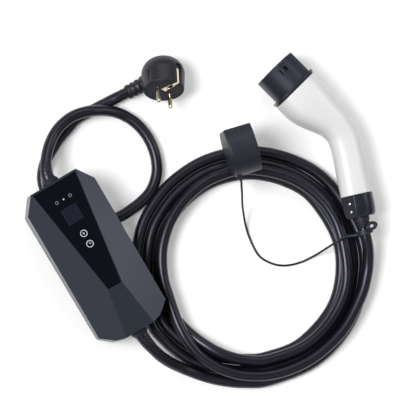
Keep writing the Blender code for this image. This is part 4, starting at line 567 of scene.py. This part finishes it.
# Ring of the tether: a rubber band round the output cord, just past the boot, with an open eyelet at one side.
# Ring, eyelet and the flat strap at the other side are moulded in one piece with the tether.
RING_BORE, RING_OUTER, RING_HALF, RING_FROM_BOOT = 0.0070, 0.0092, 0.0030, 0.0052
EYELET_REACH, EYELET_BACK, EYELET_RISE = 0.0078, 0.0050, 0.0088
EYELET_RADIUS, EYELET_WIRE = 0.0035, 0.0017
RING_LEAN, EYELET_TURN, EYELET_LEAN = math.radians(8.0), math.radians(14.0), math.radians(18.0)
EYELET_LONG, EYELET_WIDE = 1.45, 0.95
ring_middle = boot_tip + tail_along * RING_FROM_BOOT
ring_turn = tail_along.to_track_quat("Z", "Y").to_matrix().to_4x4()
ring_lean = Matrix.Rotation(RING_LEAN, 4, "Z")
ring_profile = [
    (RING_BORE, RING_HALF), (RING_OUTER - 0.0007, RING_HALF),
    (RING_OUTER - 0.0002, RING_HALF - 0.0002), (RING_OUTER, RING_HALF - 0.0007),
    (RING_OUTER, -RING_HALF + 0.0007), (RING_OUTER - 0.0002, -RING_HALF + 0.0002),
    (RING_OUTER - 0.0007, -RING_HALF), (RING_BORE, -RING_HALF),
]
ring_bm = turned(ring_profile, Matrix.Translation(ring_middle) @ ring_lean @ ring_turn, 56, closed=True)
ring = shaded(formed("cord_ring", ring_bm, cap_rubber, "cap_rubber", "tether_ring"))
wire_profile = [
    (EYELET_RADIUS + EYELET_WIRE * math.cos(step * math.pi / 8), EYELET_WIRE * math.sin(step * math.pi / 8))
    for step in range(16)
]
eyelet_middle = ring_middle + tail_across * EYELET_REACH - tail_along * EYELET_BACK + Vector((0, 0, EYELET_RISE))
eyelet_turn = Matrix.Rotation(tail_turn + EYELET_TURN, 4, "Z") @ Matrix.Rotation(EYELET_LEAN, 4, "Y")
eyelet_shape = Matrix.Diagonal((EYELET_LONG, EYELET_WIDE, 1.0, 1.0))
eyelet_place = Matrix.Translation(eyelet_middle) @ eyelet_turn @ eyelet_shape
eyelet_bm = turned(wire_profile, eyelet_place, 48, closed=True)
eyelet = shaded(formed("ring_eyelet", eyelet_bm, cap_rubber, "cap_rubber"))
ring_side = ring_middle - tail_across * 0.0088 + tail_along * 0.0012
strap_route = [
    ring_side, ring_side + Vector((-0.0052, 0.0040, -0.0008)),
    (0.0846, -0.1309, 0.0286), (0.0780, -0.1292, 0.0281),
]
STRAP_ROOT, STRAP_TAPER, STRAP_CURVE = 0.0026, 0.0013, 0.7
strap_line = smoothed(strap_route, 0.0010)
strap_shares = [index / (len(strap_line) - 1) for index in range(len(strap_line))]
strap_radii = [STRAP_ROOT - STRAP_TAPER * share**STRAP_CURVE for share in strap_shares]
strap = link("ring_strap", tube(strap_line, strap_radii, 5), cap_rubber, "cap_rubber")

# Tether: a thin round rubber string, moulded with a ring at one end that slips over the cord.
# Its other end is moulded to the dust cap's lug, and it hangs down inside the coil and lies on the paper.
TETHER = 0.0024
CAP_PLACE = Matrix.Translation((0.0668, 0.0171, 0.0549)) @ Matrix.Rotation(math.radians(-28.1), 4, "Z")
LUG_X, LUG_Y = -0.0155 + 0.0060, -0.0279 - 0.0030
lug = CAP_PLACE @ Vector((LUG_X, LUG_Y, 0.0))
cap_down = (CAP_PLACE.to_3x3() @ Vector((0.0, -1.0, 0.0))).normalized()
tether_route = [
    lug - cap_down * 0.0020, lug + cap_down * 0.0016 - Vector((0.0, 0.0, 0.0008)),
    (0.0408, -0.0102, 0.0500), (0.0361, -0.0175, 0.0400), (0.0302, -0.0259, 0.0270), (0.0246, -0.0358, 0.0140),
    (0.0191, -0.0457, 0.0050), (0.0126, -0.0592, 0.0014), (0.0063, -0.0795, 0.0014),
    (0.0102, -0.0959, 0.0014), (0.0192, -0.1082, 0.0014), (0.0333, -0.1174, 0.0014), (0.0491, -0.1231, 0.0042),
    (0.0628, -0.1261, 0.0165), (0.0715, -0.1278, 0.0271), *reversed(strap_route),
]
tether_line = smoothed(tether_route, 0.003)
tether = link("rubber_tether", tube(tether_line, TETHER / 2), cap_rubber, "cap_rubber", "cap_tether")

# Control box: a faceted cover and a back tray of dark polycarbonate, with a seal between them.
# Both are injection moulded with a fine matt texture, and four screws from the back hold them together.
box_plastic = finish(
    "matt_polycarbonate", (0.025, 0.029, 0.040), 0.06, (0.27, 0.30), 0.0006, 0.00003, mottling=12.0, shine=0.35
)
seal_rubber = finish("black_rubber", (0.012, 0.012, 0.015), 0.20, (0.48, 0.62), 0.0006, 0.00003)
refined("faceted_cover", "box_cover", box_plastic, "box_plastic", 0.0004)
refined("back_tray", "box_base", box_plastic, "box_plastic", 0.0004)

# Screws: pan heads with a cross recess, four in the back of the box and two in the connector's collar.
# They are formed from steel wire and plated bright.
screw_steel = finish("bright_steel", (0.62, 0.63, 0.64), 0.12, (0.20, 0.32), 0.0008, 0.00001, 1.0)


def screw(name, node, place, head, deep, shank, length):
    """A pan head at the origin that faces +Z, with its shank below, and a cross cut into it."""
    profile = [
        (0.0, 0.0), (head * 0.45, -deep * 0.06), (head * 0.80, -deep * 0.25), (head, -deep * 0.55), (head, -deep),
        (shank, -deep), (shank, -deep - length + shank), (shank * 0.5, -deep - length), (0.0, -deep - length),
    ]
    item = formed(name, turned(profile, place, 32), screw_steel, "steel", node)
    long, wide = head * 1.15, head * 0.26
    bars = [(long, wide, deep), (wide, long, deep)]
    carved(item, *[cutter(block(bar, (0, 0, deep * 0.05), place)) for bar in bars])
    return shaded(item)


SCREW_X, SCREW_Y, SCREW_Z = 0.033, 0.066, 0.0009
for number, (across, along) in enumerate(((1, 1), (-1, 1), (-1, -1), (1, -1)), 1):
    corner_place = Matrix.Translation((across * SCREW_X, along * SCREW_Y, SCREW_Z))
    screw_place = BOX_PLACE @ corner_place @ Matrix.Rotation(math.pi, 4, "X")
    screw(f"back_screw_{number}", f"cover_screw_{number}", screw_place, 0.0029, 0.0024, 0.0013, 0.0120)
FLAT_TILT, FLAT_REACH, FLAT_SHARE, FLAT_PITCH = math.radians(35.0), 0.0142, 0.53, 0.0046
flat_out = -tail_across * math.cos(FLAT_TILT) + Vector((0.0, 0.0, math.sin(FLAT_TILT)))
flat_middle = tail_middle + tail_along * (COLLAR_LENGTH * FLAT_SHARE) + flat_out * FLAT_REACH
flat_turn = flat_out.to_track_quat("Z", "Y").to_matrix().to_4x4()
for number, side in ((1, -1), (2, 1)):
    screw_place = Matrix.Translation(flat_middle + tail_along * (FLAT_PITCH * side)) @ flat_turn
    screw(f"collar_pin_{number}", f"collar_screw_{number}", screw_place, 0.0020, 0.0012, 0.0012, 0.0004)

# Cord glands: rubber bushes pushed into the box's two ends before the cover goes on.
# Each ends in a short tapered and ribbed sleeve that keeps the cord from bending sharply at the box.
SLEEVE_LENGTH, SLEEVE_ROOT, SLEEVE_TIP, SLEEVE_START, SLEEVE_POINTS = 0.021, 0.0073, 0.0065, 0.0010, 12
SMOOTH_ROOT, RIB_PITCH, RIB_WIDTH, RIB_DEPTH = 0.006, 0.0036, 0.0012, 0.0002
for gland, line in (("input_gland", input_line), ("output_gland", output_line)):
    refined(gland.replace("gland", "bush"), gland, seal_rubber, "rubber", 0.0003)
    outside = [point for point in line if abs((BOX_PLACE.inverted() @ point).y) > HALF_BOX + SLEEVE_START]
    sleeve_line, run = smoothed(outside[:SLEEVE_POINTS], 0.0005), 0.0
    sleeve_points, sleeve_radii = [], []
    for before, point in zip(sleeve_line, sleeve_line[1:]):
        if run > SLEEVE_LENGTH:
            break
        rib = RIB_DEPTH if run > SMOOTH_ROOT and (run % RIB_PITCH) < RIB_WIDTH else 0.0
        sleeve_points.append(before)
        sleeve_radii.append(SLEEVE_ROOT + (SLEEVE_TIP - SLEEVE_ROOT) * run / SLEEVE_LENGTH - rib)
        run += (point - before).length
    link(gland.replace("gland", "sleeve"), tube(sleeve_points, sleeve_radii, 8), sheath, "rubber")

# Front panel: a tapering sheet of glossy black acrylic, set flush in the cover's recess.
# The square display shows through its window, with a thin dark frame, and three light guides come up above it.
PANEL_TOP, INK = 0.0500, 0.00006
gloss = finish("gloss_acrylic", (0.0022, 0.0034, 0.0060), 0.10, (0.05, 0.09), 0.0020, 0.000004, mottling=8.0)
screen_glass = finish("screen_glass", (0.0120, 0.0135, 0.0270), 0.10, (0.10, 0.16), 0.0015, 0.000004)
white_print = finish("white_print", (0.60, 0.61, 0.62), 0.06, (0.40, 0.50), 0.0004, 0.000006)
dim_print = finish("grey_print", (0.26, 0.27, 0.28), 0.06, (0.40, 0.50), 0.0004, 0.000006)
guide_grey = finish("frosted_guide", (0.030, 0.032, 0.036), 0.25, (0.25, 0.35), 0.0004, 0.00001, mottling=400.0)
guide_white = finish("bright_guide", (0.80, 0.82, 0.82), 0.05, (0.20, 0.30), 0.0004, 0.00001)
refined("front_panel", "display_panel", gloss, "panel_gloss", 0.0002)
refined("display_window", "lcd_screen", screen_glass, "screen_glass", 0.0002)


def printed_ring(name, x, y, inner, outer, ink=white_print):
    """A thin printed ring on the panel."""
    profile = [(inner, 0.0), (outer, 0.0), (outer, INK), (inner, INK)]
    bm = turned(profile, BOX_PLACE @ Matrix.Translation((x, y, PANEL_TOP)), 64, closed=True)
    return formed(name, bm, ink, "light_guide")


def printed_shape(name, x, y, outlines):
    """Thin printed shapes on the panel, each an outline about a middle."""
    bm = bmesh.new()
    for outline in outlines:
        face = bm.faces.new([bm.verts.new((x + right, y + up, PANEL_TOP)) for right, up in outline])
        raised = bmesh.ops.extrude_face_region(bm, geom=[face], use_keep_orig=True)
        top = [corner for corner in raised["geom"] if isinstance(corner, bmesh.types.BMVert)]
        bmesh.ops.translate(bm, verts=top, vec=(0.0, 0.0, INK))
    bm.transform(BOX_PLACE)
    return formed(name, bm, white_print, "light_guide")


KEY_UPPER, KEY_LOWER, KEY_INNER, KEY_OUTER = 0.0282, 0.0151, 0.0032, 0.0040
LIGHTS_X, LIGHTS_Y, LIGHT_INNER, LIGHT_OUTER = 0.0084, HALF_BOX - 0.0220, 0.0015, 0.0019
printed_ring("charge_key_ring", 0.0, KEY_UPPER, KEY_INNER, KEY_OUTER)
printed_ring("timer_key_ring", 0.0, KEY_LOWER, KEY_INNER, KEY_OUTER)
bolt = [
    (0.0002, 0.0021), (-0.0013, -0.0003), (-0.0002, -0.0003),
    (-0.0005, -0.0021), (0.0013, 0.0005), (0.0001, 0.0005),
]
printed_shape("charge_key_bolt", 0.0, KEY_UPPER, [bolt])
long_hand = [(-0.0003, -0.0003), (0.0003, -0.0003), (0.0003, 0.0020), (-0.0003, 0.0020)]
short_hand = [(0.0003, -0.0003), (0.0017, -0.0003), (0.0017, 0.0003), (0.0003, 0.0003)]
printed_shape("timer_key_hands", 0.0, KEY_LOWER, [long_hand, short_hand])
printed_ring("power_light_ring", -LIGHTS_X, LIGHTS_Y, LIGHT_INNER, LIGHT_OUTER, dim_print)
printed_ring("charge_light_ring", 0.0, LIGHTS_Y, 0.0008, 0.0011, dim_print)
printed_ring("fault_light_ring", LIGHTS_X, LIGHTS_Y, LIGHT_INNER, LIGHT_OUTER, dim_print)

# Vehicle connector: a white pistol-shaped shell that bends and tapers from its wide front to a slim grip.
# It is moulded in satin plastic, with a fine parting line along its sides, and closed by the black nose in front.
SHELL_SIDES, SHELL_RINGS, SHELL_WALL, SHELL_FRONT = 72, 54, 0.0026, -0.0029
PARTING_HALF, PARTING_DEPTH = 0.00012, 0.0002
# Each station is a place across and along, a turn in degrees, a width, a height and how square the section is.
stations = [
    (0.0000, 0.0000, 0.0, 0.0540, 0.0570, 2.9),
    (-0.0006, -0.0130, 1.0, 0.0545, 0.0572, 2.9),
    (-0.0002, -0.0265, 4.0, 0.0525, 0.0560, 2.8),
    (0.0024, -0.0420, 7.0, 0.0460, 0.0505, 2.6),
    (0.0045, -0.0575, 1.0, 0.0390, 0.0430, 2.4),
    (0.0036, -0.0690, -8.0, 0.0362, 0.0385, 2.3),
    (0.0010, -0.0775, -17.0, 0.0352, 0.0350, 2.3),
    (-0.0065, -0.0915, -27.0, 0.0345, 0.0335, 2.3),
    (-0.0200, -0.1120, -32.0, 0.0345, 0.0330, 2.3),
    (-0.0334, -0.1326, -32.5, 0.0353, 0.0330, 2.3),
]


def between(values, where):
    """A smooth value between listed ones, at a place counted in list steps."""
    index = min(int(where), len(values) - 2)
    t = where - index
    start, end = values[index], values[index + 1]
    before = values[index - 1] if index > 0 else 2 * start - end
    after = values[index + 2] if index + 2 < len(values) else 2 * end - start
    square = (2 * before - 5 * start + 4 * end - after) * t**2
    return start + ((end - before) * t + square + (3 * start - before - 3 * end + after) * t**3) / 2


def set_ring(ring, layer, where, grow):
    """Moves a ring's corners to the shell's section at a place along its stations."""
    x, y, turn, width, height, squareness = (between(column, where) for column in zip(*stations))
    across = Vector((math.cos(math.radians(turn)), math.sin(math.radians(turn)), 0.0))
    for corner in ring:
        wide, high = math.cos(corner[layer]), math.sin(corner[layer])
        wide = math.copysign(abs(wide) ** (2 / squareness), wide) * (width / 2 + grow)
        high = math.copysign(abs(high) ** (2 / squareness), high) * (height / 2 + grow)
        corner.co = CONNECTOR + Vector((x, y, 0.0)) + across * wide + Vector((0.0, 0.0, high))


shell_bm = bmesh.new()
angle_layer = shell_bm.verts.layers.float.new("angle")
ring_now = bmesh.ops.create_circle(shell_bm, segments=SHELL_SIDES, radius=1.0)["verts"]
for corner in ring_now:
    corner[angle_layer] = math.atan2(corner.co.y, corner.co.x)
first_place, last_place = SHELL_FRONT / stations[1][1], len(stations) - 1.0
middle_places = [first_place + (last_place - first_place) * step / SHELL_RINGS for step in range(1, SHELL_RINGS)]
walk = [(first_place, -0.0009), (first_place + 0.02, -0.0003), (first_place + 0.06, 0.0)]
walk += [(where, 0.0) for where in middle_places if first_place + 0.1 < where < last_place - 0.05]
walk += [(last_place - 0.02, 0.0), (last_place, -0.0004), (last_place, -SHELL_WALL)]
walk += [(where, -SHELL_WALL) for where in reversed(middle_places[::4])] + [(first_place, -SHELL_WALL)]
loop_now = shell_bm.edges[:]
set_ring(ring_now, angle_layer, *walk[0])
for step in walk[1:]:
    grown = bmesh.ops.extrude_edge_only(shell_bm, edges=loop_now)["geom"]
    ring_now = [part for part in grown if isinstance(part, bmesh.types.BMVert)]
    held = set(ring_now)
    loop_now = [part for part in grown if isinstance(part, bmesh.types.BMEdge) and set(part.verts) <= held]
    set_ring(ring_now, angle_layer, *step)
bmesh.ops.bridge_loops(shell_bm, edges=[edge for edge in shell_bm.edges if edge.is_boundary])
white_plastic = finish("satin_white", (0.69, 0.69, 0.685), 0.03, (0.26, 0.34), 0.0007, 0.000012, mottling=10.0)
tree = white_plastic.node_tree
place = tree.nodes.new("ShaderNodeTexCoord")
split = tree.nodes.new("ShaderNodeSeparateXYZ")
near = maths(tree, "COMPARE")
near.inputs[1].default_value = CONNECTOR.z
near.inputs[2].default_value = PARTING_HALF
groove = tree.nodes.new("ShaderNodeBump")
groove.invert = True
groove.inputs["Distance"].default_value = PARTING_DEPTH
tree.links.new(place.outputs["Object"], split.inputs[0])
tree.links.new(split.outputs["Z"], near.inputs[0])
tree.links.new(near.outputs[0], groove.inputs["Height"])
tree.links.new(tree.nodes["bump"].outputs[0], groove.inputs["Normal"])
tree.links.new(groove.outputs[0], tree.nodes["Principled BSDF"].inputs["Normal"])
shaded(formed("white_grip", shell_bm, white_plastic, "white_shell", "connector_shell"))
nose_plastic = finish("nose_plastic", (0.022, 0.025, 0.034), 0.15, (0.26, 0.36), 0.0006, 0.00002)
collar_plastic = finish("collar_plastic", (0.014, 0.016, 0.021), 0.15, (0.24, 0.34), 0.0006, 0.00002)
refined("dark_nose", "connector_nose", nose_plastic, "nose_plastic", 0.0006)
refined("grip_collar", "tail_collar", collar_plastic, "nose_plastic", 0.0008)
boot_profile = [
    (0.0, BOOT_LENGTH), (0.0072, BOOT_LENGTH), (0.0078, BOOT_LENGTH - 0.0005), (0.0080, 0.0102), (0.0072, 0.0098),
    (0.0072, 0.0088), (0.0083, 0.0084), (0.0085, 0.0070), (0.0075, 0.0066), (0.0075, 0.0056), (0.0087, 0.0052),
    (0.0088, 0.0036), (0.0086, -0.0033), (0.0104, -0.0033), (0.0104, -0.0060), (0.0, -0.0060),
]
boot_place = Matrix.Translation(tail_middle + tail_along * COLLAR_LENGTH) @ ring_turn
shaded(formed("boot_sleeve", turned(boot_profile, boot_place, 48), seal_rubber, "rubber", "cable_boot"))

# Pieces that stay as the solids give them: the insides, the contacts, the seals and the light guides.
# Each gets the finish of the real part, such as solder mask, ferrite, copper wire or silver plate.
solder_mask = finish("solder_mask", (0.012, 0.100, 0.040), 0.30, (0.22, 0.34), 0.0012, 0.00003, mottling=160.0)
relay_blue = finish("relay_case", (0.020, 0.070, 0.240), 0.12, (0.30, 0.42), 0.0005, 0.00002)
ferrite = finish("ferrite", (0.040, 0.040, 0.043), 0.30, (0.45, 0.62), 0.0004, 0.00003)
winding = finish("copper_winding", (0.72, 0.30, 0.13), 0.25, (0.20, 0.34), 0.0005, 0.00002, 1.0)
terminal_green = finish("terminal_plastic", (0.030, 0.220, 0.060), 0.12, (0.38, 0.50), 0.0005, 0.00002)
carrier_plastic = finish("carrier_plastic", (0.014, 0.014, 0.017), 0.20, (0.40, 0.52), 0.0005, 0.00002)
silver_plate = finish("silver_plate", (0.82, 0.81, 0.78), 0.10, (0.14, 0.24), 0.0006, 0.00001, 1.0)
TURNS_SCALE, TURNS_DEPTH = 500.0, 0.0002
tree = winding.node_tree
turns = tree.nodes.new("ShaderNodeTexWave")
turns.bands_direction = "Z"
turns.inputs["Scale"].default_value = TURNS_SCALE
place = tree.nodes.new("ShaderNodeTexCoord")
tree.links.new(place.outputs["Object"], turns.inputs["Vector"])
tree.links.new(turns.outputs["Fac"], tree.nodes["bump"].inputs["Height"])
tree.nodes["bump"].inputs["Distance"].default_value = TURNS_DEPTH
stay = (
    (seal_rubber, ("box_gasket", "nose_gasket")),
    (guide_grey, ("power_light", "fault_light")),
    (guide_white, ("charge_light",)),
    (solder_mask, ("main_board", "display_board")),
    (relay_blue, ("relay_line", "relay_neutral")),
    (ferrite, ("leakage_sensor", "capacitor")),
    (winding, ("transformer",)),
    (terminal_green, ("input_terminals", "output_terminals")),
    (carrier_plastic, ("contact_carrier",)),
    (silver_plate, ("line_contact", "neutral_contact", "earth_contact", "pilot_contact", "proximity_contact")),
)
for material, names in stay:
    for name in names:
        nodes[name].data.materials.clear()
        nodes[name].data.materials.append(material)
